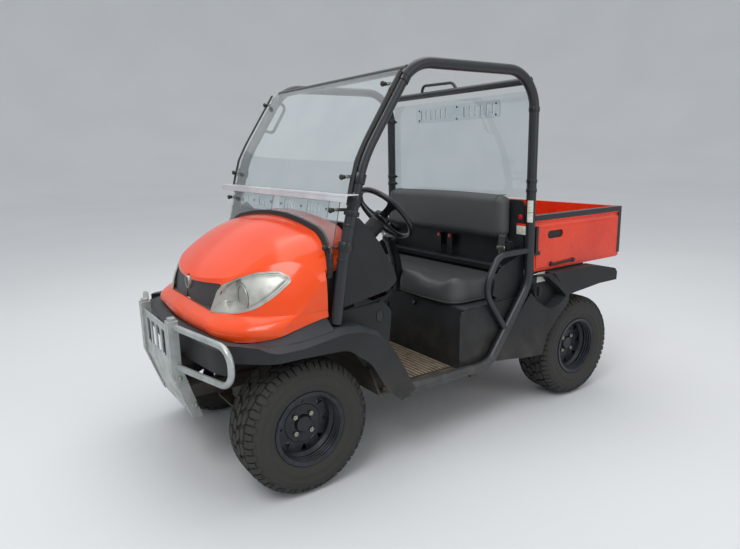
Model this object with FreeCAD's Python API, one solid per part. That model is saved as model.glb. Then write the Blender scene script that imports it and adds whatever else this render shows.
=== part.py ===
import FreeCAD, Part
import math
import os

# Side by side utility vehicle, millimetres.
# +X is the driver's side, -Y the front, +Z up; x = 0 is the centre plane.
# Lengths are set from the two axles: F(d) is d behind the front axle and
# B(d) is d behind the rear axle. Heights are above the axle line until save()
# lifts every piece by the tyre's radius, so that the tyres stand on z = 0.

V = FreeCAD.Vector

# Driving dimensions
WHEELBASE = 1800.0
FRONT_OVERHANG = 456.0          # front axle to the brush guard's front
REAR_OVERHANG = 400.0           # rear axle to the bed's rear corner posts
FRONT_TRACK = 1054.0
REAR_TRACK = 1072.0
BODY_HALF_WIDTH = 690.0         # to the fender lips
BODY_MARGIN = 10.0              # by which cutting tools run past the body
HOOD_INSET = 86.0               # hood side inside the fender lips
FENDER_WIDTH = 130.0
FENDER_CREASE = 40.0            # top crease inside the lip
FENDER_FALL = 20.0              # lip below the crease
FIT = 0.3                       # gap between pieces that seat on each other
RUNNING_FIT = 0.05              # radial gap of a shaft in its bore

# Tyres and rims
TYRE_RADIUS = 300.0
TREAD_RADIUS = 288.0            # between the lugs
TREAD_HALF_WIDTH = 98.0
TYRE_HALF_WIDTH = 114.0
BEAD_RADIUS = 152.0
BEAD_HALF_WIDTH = 96.0
CARCASS_WALL = 12.0
LUG_COUNT = 16
LUG_LENGTH = 52.0
LUG_WIDTH = 60.0
RIM_LIP_RADIUS = 166.0
RIM_HALF_WIDTH = 104.0
RIM_WALL = 4.0
DISC_FACE = 28.0                # outboard of the wheel's centre plane
DISC_WALL = 8.0
HUB_RADIUS = 38.0
HUB_LENGTH = 50.0
HUB_CAP_RADIUS = 34.0
HUB_CAP_HEIGHT = 12.0
SPINDLE_RADIUS = 18.0
WINDOW_COUNT = 8
NUT_COUNT = 4
NUT_CIRCLE = 110.0
NUT_RADIUS = 10.0
NUT_HEIGHT = 10.0

# Frame rails and suspension
RAIL_X = 215.0                  # rail's centre plane
RAIL_WIDTH = 40.0
RAIL_DEPTH = 60.0
RAIL_LOW = -24.0                # underside between the axles
RAIL_HIGH = 108.0               # underside over the axles
PIVOT_X = 486.0                 # lower ball joint
PIVOT_Z = -110.0
STRUT_X = 372.0
STRUT_TOP = 400.0
STRUT_RADIUS = 22.0
SPRING_RADIUS = 30.0
STEER_ARM = 80.0
TIE_ROD_Z = -45.0
TIE_ROD_RADIUS = 7.0
RACK_HALF_LENGTH = 170.0
RACK_RADIUS = 24.0
SHAFT_RADIUS = 11.0
AXLE_TUBE_RADIUS = 36.0
SPRING_X = 300.0                # leaf springs
SPRING_WIDTH = 50.0
SPRING_HALF_LENGTH = 260.0

# Roll cage
CAGE_X = BODY_HALF_WIDTH - 75.0
CAGE_RADIUS = 25.4
CROSSBAR_RADIUS = 19.0
HIP_RADIUS = 17.0
GRAB_RADIUS = 9.0
CAGE_TOP = 1540.0
REAR_POST = -420.0              # behind the rear axle
SILL_Z = 42.0

# Cab
FLOOR_TOP = 45.0
FLOOR_WALL = 10.0
MAT_WALL = 8.0
COWL_X = BODY_HALF_WIDTH - 90.0
COWL_WALL = 12.0
SEAT_HALF_WIDTH = CAGE_X - 95.0
SEAT_TOP = 468.0
SEAT_BASE_TOP = 362.0
BACKREST_HALF_WIDTH = CAGE_X - 103.0
PANEL_WALL = 6.0
BELT_STEP_Z = 522.0
REEL_X = CAGE_X - 95.0
WINDOW_WALL = 4.0

# Bed
BED_HALF_WIDTH = BODY_HALF_WIDTH - 68.0
BED_BOTTOM = 498.0
BED_TOP = 805.0
BED_PLATE_HALF = BED_HALF_WIDTH - 62.0   # raised tread plate of the floor
BED_PLATE_TOP = 504.0
BED_FRONT = -388.0              # behind the rear axle
SHEET = 3.0
BED_RAIL = 38.0
BED_RAIL_LOW = 776.0            # underside of the black top rail
BED_POST_WIDTH = 18.0
BED_PANEL_RISE = 4.0            # raised panel of the side
BED_SLOT = (-286.0, -154.0, 671.0, 714.0)   # ends behind the rear axle, heights
BED_HINGE_Y = 230.0             # behind the rear axle
BED_HINGE_Z = 408.0
TAILGATE_HINGE_Z = 512.0

# Tow hitch
HITCH_Y = 362.0                 # behind the rear axle
HITCH_Z = 40.0
HITCH_PLATE = 10.0
HITCH_HOLE_RADIUS = 9.75

FRONT_AXLE_Y = FRONT_OVERHANG - (FRONT_OVERHANG + WHEELBASE + REAR_OVERHANG) / 2
REAR_AXLE_Y = FRONT_AXLE_Y + WHEELBASE


def F(distance):
    return FRONT_AXLE_Y + distance


def B(distance):
    return REAR_AXLE_Y + distance


def corner(before, point, after, radius):
    """Start, middle and end of the arc that rounds a corner."""
    to_before = (before - point).normalize()
    to_after = (after - point).normalize()
    half = to_before.getAngle(to_after) / 2
    reach = radius / math.tan(half)
    middle_way = (to_before + to_after).normalize()
    centre = point + middle_way * (radius / math.sin(half))
    return point + to_before * reach, centre - middle_way * radius, point + to_after * reach


def rounded_edges(points, radii, closed):
    """Lines through the points, with an arc at each corner that has a radius."""
    count = len(points)
    spans = []
    for i, (point, radius) in enumerate(zip(points, radii)):
        inner = closed or 0 < i < count - 1
        if radius and inner:
            spans.append(corner(points[i - 1], point, points[(i + 1) % count], radius))
        else:
            spans.append((point, None, point))
    edges = []
    for i, (start, middle, end) in enumerate(spans):
        if middle is not None:
            edges.append(Part.Arc(start, middle, end).toShape())
        if closed or i < count - 1:
            following = spans[(i + 1) % count][0]
            if end.distanceToPoint(following) > 1e-6:
                edges.append(Part.LineSegment(end, following).toShape())
    return edges


def outline(rows, normal, at):
    """Closed wire in the plane across the axis `normal`; a row is (u, v) or (u, v, radius)."""
    place = {"x": lambda u, v: V(at, u, v), "y": lambda u, v: V(u, at, v), "z": lambda u, v: V(u, v, at)}
    points = [place[normal](row[0], row[1]) for row in rows]
    radii = [row[2] if len(row) > 2 else 0 for row in rows]
    return Part.Wire(rounded_edges(points, radii, True))


def prism(rows, normal, low, high):
    way = {"x": V(1, 0, 0), "y": V(0, 1, 0), "z": V(0, 0, 1)}[normal]
    return Part.Face(outline(rows, normal, low)).extrude(way * (high - low))


def block(x0, x1, y0, y1, z0, z1):
    return Part.makeBox(x1 - x0, y1 - y0, z1 - z0, V(x0, y0, z0))


def rod(start, end, radius):
    start, end = V(*start), V(*end)
    return Part.makeCylinder(radius, (end - start).Length, start, end - start)


def tube(rows, radius):
    """Round bar along straight runs joined by arcs; a row is (x, y, z) or (x, y, z, bend)."""
    points = [V(*row[:3]) for row in rows]
    radii = [row[3] if len(row) > 3 else 0 for row in rows]
    path = Part.Wire(rounded_edges(points, radii, False))
    ring = Part.Wire(Part.makeCircle(radius, points[0], points[1] - points[0]))
    return path.makePipeShell([ring], True, False)


def turned(rows, centre):
    """Solid of revolution about the X line through `centre`; a row is (x, r) or (x, r, radius)."""
    face = Part.Face(outline([(row[0], row[1], *row[2:]) for row in rows], "z", 0))
    solid = face.revolve(V(0, 0, 0), V(1, 0, 0), 360)
    solid.translate(V(*centre))
    return solid


def mirrored(shape):
    return shape.mirror(V(0, 0, 0), V(1, 0, 0))


def joined(first, *others):
    return first.multiFuse(list(others)).removeSplitter()


def save(node, *shapes):
    solids = [solid for shape in shapes for solid in shape.Solids]
    shape = solids[0] if len(solids) == 1 else Part.makeCompound(solids)
    shape = shape.copy()
    shape.translate(V(0, 0, TYRE_RADIUS))
    shape.exportStep("parts/" + node + ".step")


# Wheels

def tyre():
    """Carcass with a row of lugs along each shoulder, centred on the origin, outboard to +X."""
    bead = BEAD_RADIUS + FIT
    belly = (BEAD_RADIUS + TYRE_RADIUS) / 2
    wall = CARCASS_WALL
    carcass = turned([
        (-BEAD_HALF_WIDTH, bead),
        (-BEAD_HALF_WIDTH, RIM_LIP_RADIUS + 2),
        (-TYRE_HALF_WIDTH, belly, 40),
        (-TREAD_HALF_WIDTH, TREAD_RADIUS, 16),
        (TREAD_HALF_WIDTH, TREAD_RADIUS, 16),
        (TYRE_HALF_WIDTH, belly, 40),
        (BEAD_HALF_WIDTH, RIM_LIP_RADIUS + 2),
        (BEAD_HALF_WIDTH, bead),
        (BEAD_HALF_WIDTH - wall, bead),
        (TYRE_HALF_WIDTH - wall, belly),
        (TREAD_HALF_WIDTH - wall, TREAD_RADIUS - wall),
        (-TREAD_HALF_WIDTH + wall, TREAD_RADIUS - wall),
        (-TYRE_HALF_WIDTH + wall, belly),
        (-BEAD_HALF_WIDTH + wall, bead),
    ], (0, 0, 0))
    lugs = []
    for side in (-1, 1):
        reach = [0.12 * LUG_WIDTH, TREAD_HALF_WIDTH + 2]
        x0, x1 = sorted(side * x for x in reach)
        lug = block(x0, x1, -LUG_LENGTH / 2, LUG_LENGTH / 2, TREAD_RADIUS - wall / 2, TYRE_RADIUS)
        for i in range(LUG_COUNT):
            copy = lug.copy()
            turn = 360.0 / LUG_COUNT * (i + (0.5 if side > 0 else 0))
            copy.rotate(V(0, 0, 0), V(1, 0, 0), turn)
            lugs.append(copy)
    return carcass.multiFuse(lugs)


def rim():
    """Deep dished steel wheel with its hub, centred on the origin, outboard to +X."""
    inner = BEAD_RADIUS - RIM_WALL
    seat = BEAD_HALF_WIDTH + FIT
    lip = RIM_LIP_RADIUS - RIM_WALL
    disc_back = DISC_FACE - DISC_WALL
    bore = SPINDLE_RADIUS + RUNNING_FIT
    wheel = turned([
        (-RIM_HALF_WIDTH, RIM_LIP_RADIUS),
        (-seat, RIM_LIP_RADIUS),
        (-seat, BEAD_RADIUS),
        (seat, BEAD_RADIUS),
        (seat, RIM_LIP_RADIUS),
        (RIM_HALF_WIDTH, RIM_LIP_RADIUS),
        (RIM_HALF_WIDTH, lip),
        (RIM_HALF_WIDTH - RIM_WALL, inner),
        (DISC_FACE + 14, inner),
        (DISC_FACE, inner - 14),
        (DISC_FACE, HUB_CAP_RADIUS + 8),
        (DISC_FACE + HUB_CAP_HEIGHT, HUB_CAP_RADIUS),
        (DISC_FACE + HUB_CAP_HEIGHT, 0),
        (disc_back - 6, 0),
        (disc_back - 6, bore),
        (DISC_FACE - HUB_LENGTH, bore),
        (DISC_FACE - HUB_LENGTH, HUB_RADIUS),
        (disc_back, HUB_RADIUS),
        (disc_back, inner),
        (-RIM_HALF_WIDTH + RIM_WALL, inner),
        (-RIM_HALF_WIDTH, lip),
    ], (0, 0, 0))
    window = prism([(-17, 126, 4), (17, 126, 4), (0, 92, 4)], "x", disc_back - 2, DISC_FACE + 2)
    windows = []
    for i in range(WINDOW_COUNT):
        copy = window.copy()
        copy.rotate(V(0, 0, 0), V(1, 0, 0), 360.0 / WINDOW_COUNT * i)
        windows.append(copy)
    hexagon = [(NUT_RADIUS * math.cos(math.radians(60 * k)),
                NUT_CIRCLE / 2 + NUT_RADIUS * math.sin(math.radians(60 * k))) for k in range(6)]
    nut = prism(hexagon, "x", DISC_FACE - 1, DISC_FACE + NUT_HEIGHT)
    nuts = []
    for i in range(NUT_COUNT):
        copy = nut.copy()
        copy.rotate(V(0, 0, 0), V(1, 0, 0), 360.0 / NUT_COUNT * (i + 0.5))
        nuts.append(copy)
    return wheel.cut(Part.makeCompound(windows)).multiFuse(nuts)


def wheels():
    outboard_tyre = tyre()
    outboard_rim = rim()
    corners = (("front", FRONT_TRACK / 2, F(0)), ("rear", REAR_TRACK / 2, B(0)))
    for name, x, y in corners:
        for kind, shape in (("tyre", outboard_tyre), ("rim", outboard_rim)):
            left = shape.copy()
            left.translate(V(x, y, 0))
            save(kind + "_" + name + "_left", left)
            save(kind + "_" + name + "_right", mirrored(left))


# Frame

def rail(x):
    """One frame rail, lowered between the axles."""
    top_low = RAIL_LOW + RAIL_DEPTH
    top_high = RAIL_HIGH + RAIL_DEPTH
    return prism([
        (F(-365.7), RAIL_HIGH), (F(210), RAIL_HIGH), (F(330), RAIL_LOW), (B(-440), RAIL_LOW),
        (B(-300), RAIL_HIGH), (B(330), RAIL_HIGH), (B(330), top_high), (B(-325), top_high),
        (B(-465), top_low), (F(355), top_low), (F(235), top_high), (F(-383.6), top_high),
    ], "x", x - RAIL_WIDTH / 2, x + RAIL_WIDTH / 2)


def crossmembers():
    """Beams between and beyond the rails; each lies against the rails' sides or tops."""
    inside = RAIL_X - RAIL_WIDTH / 2 - FIT
    sill = CAGE_X - CAGE_RADIUS - FIT
    outside = RAIL_X + RAIL_WIDTH / 2 + FIT
    beams = [block(-inside, inside, F(-365), F(-325), RAIL_HIGH + 5, RAIL_HIGH + 55),
             block(-inside, inside, F(360), F(400), RAIL_LOW + 5, RAIL_LOW + 55),
             block(-inside, inside, B(-640), B(-600), RAIL_LOW + 5, RAIL_LOW + 55),
             rear_crossmember(inside)]
    for y in (F(560), B(-800)):
        outrigger = block(outside, sill, y - 20, y + 20, RAIL_LOW + 8, RAIL_LOW + 48)
        beams += [outrigger, mirrored(outrigger)]
    return beams


def rear_crossmember(half):
    """Rear beam with the drop plate of the tow hitch."""
    beam = block(-half, half, B(290), B(330), RAIL_HIGH, RAIL_HIGH + RAIL_DEPTH)
    drop = block(-50, 50, B(318), B(330), HITCH_Z, RAIL_HIGH + 20)
    shelf = block(-50, 50, B(318), B(392), HITCH_Z, HITCH_Z + HITCH_PLATE)
    hole = rod((0, B(HITCH_Y), HITCH_Z - 5), (0, B(HITCH_Y), HITCH_Z + HITCH_PLATE + 5), HITCH_HOLE_RADIUS)
    return joined(beam, drop, shelf).cut(hole)


def front_subframe():
    """Cradle under the front rails: a tray, side plates and the strut towers."""
    side = RAIL_X - RAIL_WIDTH / 2 - FIT
    tray = block(-side, side, F(-110), F(130), -98, -90)
    plate = block(side - 6, side, F(-110), F(130), -98, RAIL_HIGH + 50)
    holes = [rod((-side - 5, F(0), 0), (side + 5, F(0), 0), SHAFT_RADIUS + 9),
             rod((-side - 5, F(STEER_ARM), TIE_ROD_Z), (side + 5, F(STEER_ARM), TIE_ROD_Z), TIE_ROD_RADIUS + 7)]
    cradle = joined(tray, plate, mirrored(plate)).cut(Part.makeCompound(holes))
    bottom = RAIL_HIGH + RAIL_DEPTH + FIT
    top = STRUT_TOP + FIT + 3
    tower = prism([
        (RAIL_X - 18, bottom), (RAIL_X + 18, bottom), (STRUT_X - 44, top), (STRUT_X + 40, top),
        (STRUT_X + 40, top + 12), (STRUT_X - 60, top + 12), (RAIL_X - 18, bottom + 40),
    ], "y", F(-35), F(35))
    return [cradle, tower, mirrored(tower)]


def front_differential():
    case = block(-70, 70, F(-85), F(35), -70, 60)
    case = case.makeFillet(22, case.Edges)
    leg = block(-60, 60, F(-70), F(20), -90 + FIT, -60)
    shaft = rod((60, F(0), 0), (steer_axis_x(0) - 14, F(0), 0), SHAFT_RADIUS)
    joint = Part.makeSphere(24, V(steer_axis_x(0), F(0), 0))
    boot = Part.makeCone(30, 15, 60, V(68, F(0), 0), V(1, 0, 0))
    half = joined(shaft, joint, boot)
    return joined(case, leg, half, mirrored(half))


def steer_axis_x(z):
    """X of the left kingpin line at height z."""
    return PIVOT_X + (STRUT_X - PIVOT_X) * (z - PIVOT_Z) / (STRUT_TOP - PIVOT_Z)


def steer_axis():
    return V(STRUT_X - PIVOT_X, 0, STRUT_TOP - PIVOT_Z).normalize()


def lower_arm():
    """Left suspension arm from the cradle to the ball joint."""
    pivot = RAIL_X - RAIL_WIDTH / 2 + 15
    sleeve = rod((pivot, F(-100), -86), (pivot, F(120), -86), 15)
    neck = rod((PIVOT_X - 4, F(0), PIVOT_Z - 24), (396, F(0), -126), 9)
    legs = [rod((400, F(0), -126), (pivot, y, -86), 12) for y in (F(-84), F(100))]
    boss = Part.makeCylinder(20, 14, V(PIVOT_X, F(0), PIVOT_Z) - steer_axis() * (24 + FIT), steer_axis())
    return joined(sleeve, neck, boss, *legs)


def knuckle():
    """Left steering knuckle: bell round the shaft joint, spindle, strut clamp and steering arm."""
    hub_back = FRONT_TRACK / 2 + DISC_FACE - HUB_LENGTH
    centre = V(0, F(0), 0)
    bell = rod((436, F(0), 0), (hub_back - FIT, F(0), 0), 42)
    spindle = rod((hub_back - 10, F(0), 0), (FRONT_TRACK / 2 + DISC_FACE - DISC_WALL - 8, F(0), 0),
                  SPINDLE_RADIUS)
    carrier = prism([
        (PIVOT_X - 20, PIVOT_Z + 4, 4), (PIVOT_X + 12, PIVOT_Z + 4, 4), (hub_back - 2, 0), (hub_back - 6, 46, 6),
        (STRUT_X, 96, 4), (STRUT_X, 44, 4), (PIVOT_X - 34, 20),
    ], "y", F(-20), F(20))
    foot = Part.makeCylinder(18, 14, V(PIVOT_X, F(0), PIVOT_Z) - steer_axis() * 10, steer_axis())
    pin_x = steer_axis_x(TIE_ROD_Z)
    pin_y = F(STEER_ARM)
    arm = block(pin_x - 11, pin_x + 11, F(10), pin_y + 12, TIE_ROD_Z + 20, TIE_ROD_Z + 34)
    pin = rod((pin_x, pin_y + 5, TIE_ROD_Z + 22), (pin_x, pin_y + 5, TIE_ROD_Z - 18), 4)
    clamp = rod((STRUT_X, F(0), 42), (STRUT_X, F(0), 98), STRUT_RADIUS + 9)
    body = joined(bell, spindle, carrier, foot, arm, pin, clamp)
    cup = rod((430, F(0), 0), (488, F(0), 0), 34)
    socket = rod((STRUT_X, F(0), 30), (STRUT_X, F(0), 110), STRUT_RADIUS + FIT)
    return body.cut(Part.makeCompound([cup, socket]))


def strut():
    """Left strut: tube, coil spring seen as rings, and the bearing cap on the kingpin line."""
    low, seat, high = 36, 160, STRUT_TOP - 26
    coils = 7
    pitch = (high - seat - 8) / coils
    rows = [(low, 0), (low, STRUT_RADIUS), (seat, STRUT_RADIUS), (seat, SPRING_RADIUS), (seat + 5, SPRING_RADIUS)]
    for i in range(coils):
        base = seat + 5 + pitch * i
        rows += [(base + 0.2 * pitch, SPRING_RADIUS - 9), (base + 0.5 * pitch, SPRING_RADIUS - 9),
                 (base + 0.7 * pitch, SPRING_RADIUS), (base + pitch, SPRING_RADIUS)]
    rows += [(high, SPRING_RADIUS), (high, 12), (high + 14, 12), (high + 14, 0)]
    body = turned(rows, (0, 0, 0))
    body.rotate(V(0, 0, 0), V(0, 1, 0), -90)
    body.translate(V(STRUT_X, F(0), 0))
    cap = Part.makeCylinder(30, 14, V(STRUT_X, F(0), STRUT_TOP) - steer_axis() * 14, steer_axis())
    tilt = V(0, 0, 1).getAngle(steer_axis())
    drop = 30 * math.sin(tilt)
    cap.translate(V(0, 0, -drop))
    return joined(body, cap)


def steering_gear():
    """Rack housing on the cradle, and the one bar of rack and tie rods that slides in it."""
    y = F(STEER_ARM)
    housing = rod((-RACK_HALF_LENGTH, y, TIE_ROD_Z), (RACK_HALF_LENGTH, y, TIE_ROD_Z), RACK_RADIUS)
    feet = [block(x - 15, x + 15, y - 16, y + 16, -90 + FIT, TIE_ROD_Z) for x in (-120, 120)]
    bore = rod((-RACK_HALF_LENGTH - 5, y, TIE_ROD_Z), (RACK_HALF_LENGTH + 5, y, TIE_ROD_Z),
               TIE_ROD_RADIUS + RUNNING_FIT)
    pin_x = steer_axis_x(TIE_ROD_Z)
    bar = rod((-pin_x + 16, y, TIE_ROD_Z), (pin_x - 16, y, TIE_ROD_Z), TIE_ROD_RADIUS)
    eye = rod((pin_x, y, TIE_ROD_Z - 6), (pin_x, y, TIE_ROD_Z + 6), 20)
    hole = rod((pin_x, y, TIE_ROD_Z - 9), (pin_x, y, TIE_ROD_Z + 9), 14)
    rods = joined(bar, eye, mirrored(eye)).cut(Part.makeCompound([hole, mirrored(hole)]))
    return joined(housing, *feet).cut(bore), rods


def rear_axle():
    hub_back = REAR_TRACK / 2 + DISC_FACE - HUB_LENGTH
    beam = rod((-hub_back + FIT, B(0), 0), (hub_back - FIT, B(0), 0), AXLE_TUBE_RADIUS)
    tip = REAR_TRACK / 2 + DISC_FACE - DISC_WALL - 8
    spindles = rod((-tip, B(0), 0), (tip, B(0), 0), SPINDLE_RADIUS)
    case = block(-80, 80, B(-90), B(90), -90, 80)
    case = case.makeFillet(26, case.Edges)
    drum = rod((hub_back - 66, B(0), 0), (hub_back - FIT, B(0), 0), 84)
    return joined(beam, spindles, case, drum, mirrored(drum))


def leaf_springs():
    """Semi-elliptic springs over the axle tube, eye to eye, with their rail brackets."""
    seat = AXLE_TUBE_RADIUS + FIT
    reach = SPRING_HALF_LENGTH
    eye_z = seat + 62
    springs = []
    for sign in (1, -1):
        x0 = sign * SPRING_X - SPRING_WIDTH / 2
        x1 = x0 + SPRING_WIDTH
        leaf = prism([
            (B(-reach), eye_z - 7, 0), (B(-90), seat, 400), (B(90), seat, 400), (B(reach), eye_z - 7, 0),
            (B(reach), eye_z + 7, 0), (B(80), seat + 22, 400), (B(-80), seat + 22, 400), (B(-reach), eye_z + 7, 0),
        ], "x", x0, x1)
        eyes = [rod((x0, y, eye_z), (x1, y, eye_z), 16) for y in (B(-reach), B(reach))]
        inner = sign * (RAIL_X + RAIL_WIDTH / 2 + FIT)
        pins = []
        for y in (B(-reach), B(reach)):
            ends = sorted((inner, sign * (SPRING_X + SPRING_WIDTH / 2 + 6)))
            pins.append(block(ends[0], ends[1], y - 9, y + 9, eye_z - 9 + 0, eye_z + 9))
            pins.append(block(min(inner, inner + sign * 6), max(inner, inner + sign * 6), y - 20, y + 20,
                              eye_z - 20, RAIL_HIGH + 40))
        springs.append(joined(leaf, *eyes, *pins))
    return springs


def engine_block():
    half = RAIL_X - RAIL_WIDTH / 2 - FIT
    return block(-half, half, B(-560), B(-130), 10, 340)


# Body panels

NOSE_HALF_WIDTH = 604.0         # half width at which the nose sections are drawn
HOOD_REAR = 280.0               # behind the front axle
HOOD_POST_FRONT = 122.0         # front edge of the notch for the roll cage post
HOOD_WALL = 8.0
GRILLE_RECESS = 6.0
GRILLE_WALL = 10.0
LAMP_DEPTH = 90.0
LAMP_WALL = 12.0
LAMP_DISTANCE = -190.0          # lamp's reference point, behind the axle
LAMP_X = 430.0
LAMP_TURN = 68.3                # line that looks into the front corner, degrees from straight back
LAMP_REACH = 210.0
BARREL_X = 397.0
BARREL_Z = 566.0
BARREL_RADIUS = 56.0
BARREL_FRONT = -176.0           # behind the axle
LENS_RADIUS = 49.0
BADGE_RADIUS = 30.0
BADGE_Z = 583.0

# Crown sections of the nose. Behind the axle, half width, belt height, cheek x and height,
# shoulder x and height, crown height, base height
CROWN_SECTIONS = (
    (HOOD_REAR, 604, 636, 555, 760, 407, 844, 882, 484),
    (187, 604, 625, 551, 746, 403, 826, 862, 478),
    (72, 604, 605, 546, 718, 400, 800, 838, 466),
    (-16, 604, 580, 540, 684, 398, 762, 797, 448),
    (-103, 604, 545, 530, 634, 394, 712, 745, 428),
    (-190, 604, 505, 510, 580, 370, 654, 688, 412),
    (-260, 600, 470, 480, 530, 330, 600, 632, 405),
    (-360, 590, 430, 430, 440, 280, 470, 490, 400),
)
# Plan sections of the lip under the lamps, and of the nose above it. Height, centre y, front arc's
# end x and y, corner arc's middle x and y and end x and y; all y are behind the axle
LIP_PLANS = (
    (380, -320, 300, -298, 520, -220, 600, -70),
    (412, -333, 300, -312, 524, -228, 602, -90),
    (440, -345, 300, -325, 530, -230, 605, -90),
    (474, -332, 296, -309, 522, -212, 604, -70),
    (505, -291, 275, -266, 480, -176, 601, -20),
)
NOSE_PLANS = (
    (505, -291, 275, -266, 480, -176, 601, -20),
    (620, -274, 270, -238, 466, -144, 600, 90),
    (700, -258, 262, -206, 440, -100, 596, 150),
    (920, -190, 250, -120, 430, 10, 592, 280),
)


# Headlight seen along its own line. Across, height, corner radius
LAMP_OUTLINE = (
    (-142, 495, 6), (-106, 585, 30), (-78, 617, 20), (-12, 650, 50), (58, 673, 60), (153, 681, 20),
    (195, 661, 16), (205, 641, 10), (188, 627, 14), (132, 582, 120), (48, 529, 120), (-35, 505, 90),
)


def wide(x):
    """Across size of the nose, scaled with the hood's half width."""
    return x * (BODY_HALF_WIDTH - HOOD_INSET) / NOSE_HALF_WIDTH


def crown_section(row, grow):
    """Cross-section of the nose: upright sides, cheek arcs and a crowned top."""
    distance, half, belt, cheek_x, cheek_z, shoulder_x, shoulder_z, crown, base = row
    y = F(distance)
    low = base - abs(grow)
    half = wide(half) + grow
    cheek_x = wide(cheek_x) + 0.75 * grow
    shoulder_x = wide(shoulder_x)
    cheek_z += 0.7 * grow
    shoulder_z += grow
    crown += grow
    edges = [
        Part.LineSegment(V(-half, y, low), V(-half, y, belt)).toShape(),
        Part.Arc(V(-half, y, belt), V(-cheek_x, y, cheek_z), V(-shoulder_x, y, shoulder_z)).toShape(),
        Part.Arc(V(-shoulder_x, y, shoulder_z), V(0, y, crown), V(shoulder_x, y, shoulder_z)).toShape(),
        Part.Arc(V(shoulder_x, y, shoulder_z), V(cheek_x, y, cheek_z), V(half, y, belt)).toShape(),
        Part.LineSegment(V(half, y, belt), V(half, y, low)).toShape(),
        Part.LineSegment(V(half, y, low), V(-half, y, low)).toShape(),
    ]
    return Part.Wire(edges)


def plan_section(row, grow):
    """Horizontal section of the nose: front arc, corner arcs, straight sides and back."""
    z, front, arc_x, arc_y, mid_x, mid_y, side_x, side_y = row
    side_x = wide(side_x) + grow
    mid = (wide(mid_x) + 0.6 * grow, F(mid_y) - 0.8 * grow)
    arc = (wide(arc_x), F(arc_y) - grow)
    back = F(HOOD_REAR + 2)
    edges = [
        Part.LineSegment(V(side_x, back, z), V(side_x, F(side_y), z)).toShape(),
        Part.Arc(V(side_x, F(side_y), z), V(*mid, z), V(*arc, z)).toShape(),
        Part.Arc(V(*arc, z), V(0, F(front) - grow, z), V(-arc[0], arc[1], z)).toShape(),
        Part.Arc(V(-arc[0], arc[1], z), V(-mid[0], mid[1], z), V(-side_x, F(side_y), z)).toShape(),
        Part.LineSegment(V(-side_x, F(side_y), z), V(-side_x, back, z)).toShape(),
        Part.LineSegment(V(-side_x, back, z), V(side_x, back, z)).toShape(),
    ]
    return Part.Wire(edges)


def lofted(wires):
    form = Part.makeLoft(wires, True, False)
    return form.reversed() if form.Volume < 0 else form


def nose_form(grow):
    """The hood's outer form, grown outward; a negative value gives its inside."""
    crown = lofted([crown_section(row, grow) for row in CROWN_SECTIONS])
    lip = lofted([plan_section(row, grow) for row in LIP_PLANS])
    nose = lofted([plan_section(row, grow) for row in NOSE_PLANS])
    return crown.common(lip.fuse(nose))


def grille_prism(inset):
    """Opening between the headlights, seen from the front."""
    half = [(0, 506), (140, 502), (284, 496, 4), (313, 585), (318, 602, 8), (298, 616, 8), (150, 606, 60),
            (34, 600, 10)]
    rows = [(wide(row[0]), *row[1:]) for row in half]
    other = [(-row[0], *row[1:]) for row in reversed(rows[1:])]
    wire = outline(rows + [(0, 628, 24)] + other, "y", F(-420))
    if inset:
        wire = wire.makeOffset2D(-inset)
    return Part.Face(wire).extrude(V(0, 320, 0))


def lamp_prism(inset):
    """Outline of the left headlight, along the line that looks into the front corner."""
    wire = outline(LAMP_OUTLINE, "y", -LAMP_REACH)
    if inset:
        wire = wire.makeOffset2D(-inset)
    solid = Part.Face(wire).extrude(V(0, 2 * LAMP_REACH, 0))
    solid.rotate(V(0, 0, 0), V(0, 0, 1), LAMP_TURN)
    solid.translate(V(wide(LAMP_X), F(LAMP_DISTANCE), 0))
    return solid


def headlight(outer, grille_hole):
    """Left lamp bowl with its barrel, and the clear lens in the barrel's front."""
    x = wide(BARREL_X)
    front = F(BARREL_FRONT)
    bowl = outer.cut(nose_form(-LAMP_DEPTH)).common(lamp_prism(FIT))
    scoop = outer.cut(nose_form(LAMP_WALL - LAMP_DEPTH)).common(lamp_prism(LAMP_WALL))
    barrel = rod((x, front, BARREL_Z), (x, front + 200, BARREL_Z), BARREL_RADIUS)
    barrel = barrel.common(nose_form(-2)).common(lamp_prism(FIT))
    seat = rod((x, front - 1, BARREL_Z), (x, front + 12, BARREL_Z), LENS_RADIUS + FIT)
    body = joined(bowl.cut(scoop), barrel).cut(seat).cut(grille_hole)
    body = max(body.Solids, key=lambda solid: solid.Volume)
    lens = rod((x, front + 4, BARREL_Z), (x, front + 12 - FIT, BARREL_Z), LENS_RADIUS).common(nose_form(-3))
    return body, lens


def hood_group():
    outer = nose_form(0)
    post = block(COWL_X - 15, BODY_HALF_WIDTH + BODY_MARGIN, F(HOOD_POST_FRONT), F(HOOD_REAR + 20), 380, 900)
    grille_hole = grille_prism(0)
    left_hole = lamp_prism(0)
    holes = Part.makeCompound([grille_hole, left_hole, mirrored(left_hole), post, mirrored(post)])
    hood = outer.cut(nose_form(-HOOD_WALL)).cut(holes)
    plate = nose_form(-GRILLE_RECESS)
    grille = plate.cut(nose_form(-GRILLE_RECESS - GRILLE_WALL)).common(grille_prism(FIT))
    notch = block(-26, 26, F(-310), F(-279), 498, 540)
    badge = rod((0, F(-285), BADGE_Z), (0, F(-262), BADGE_Z), BADGE_RADIUS).cut(nose_form(FIT - GRILLE_RECESS))
    lamp, lens = headlight(outer, grille_hole)
    return {
        "hood": [hood], "grille": [grille.cut(notch)], "grille_badge": [badge],
        "headlights": [lamp, mirrored(lamp)], "headlight_lenses": [lens, mirrored(lens)],
    }


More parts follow.
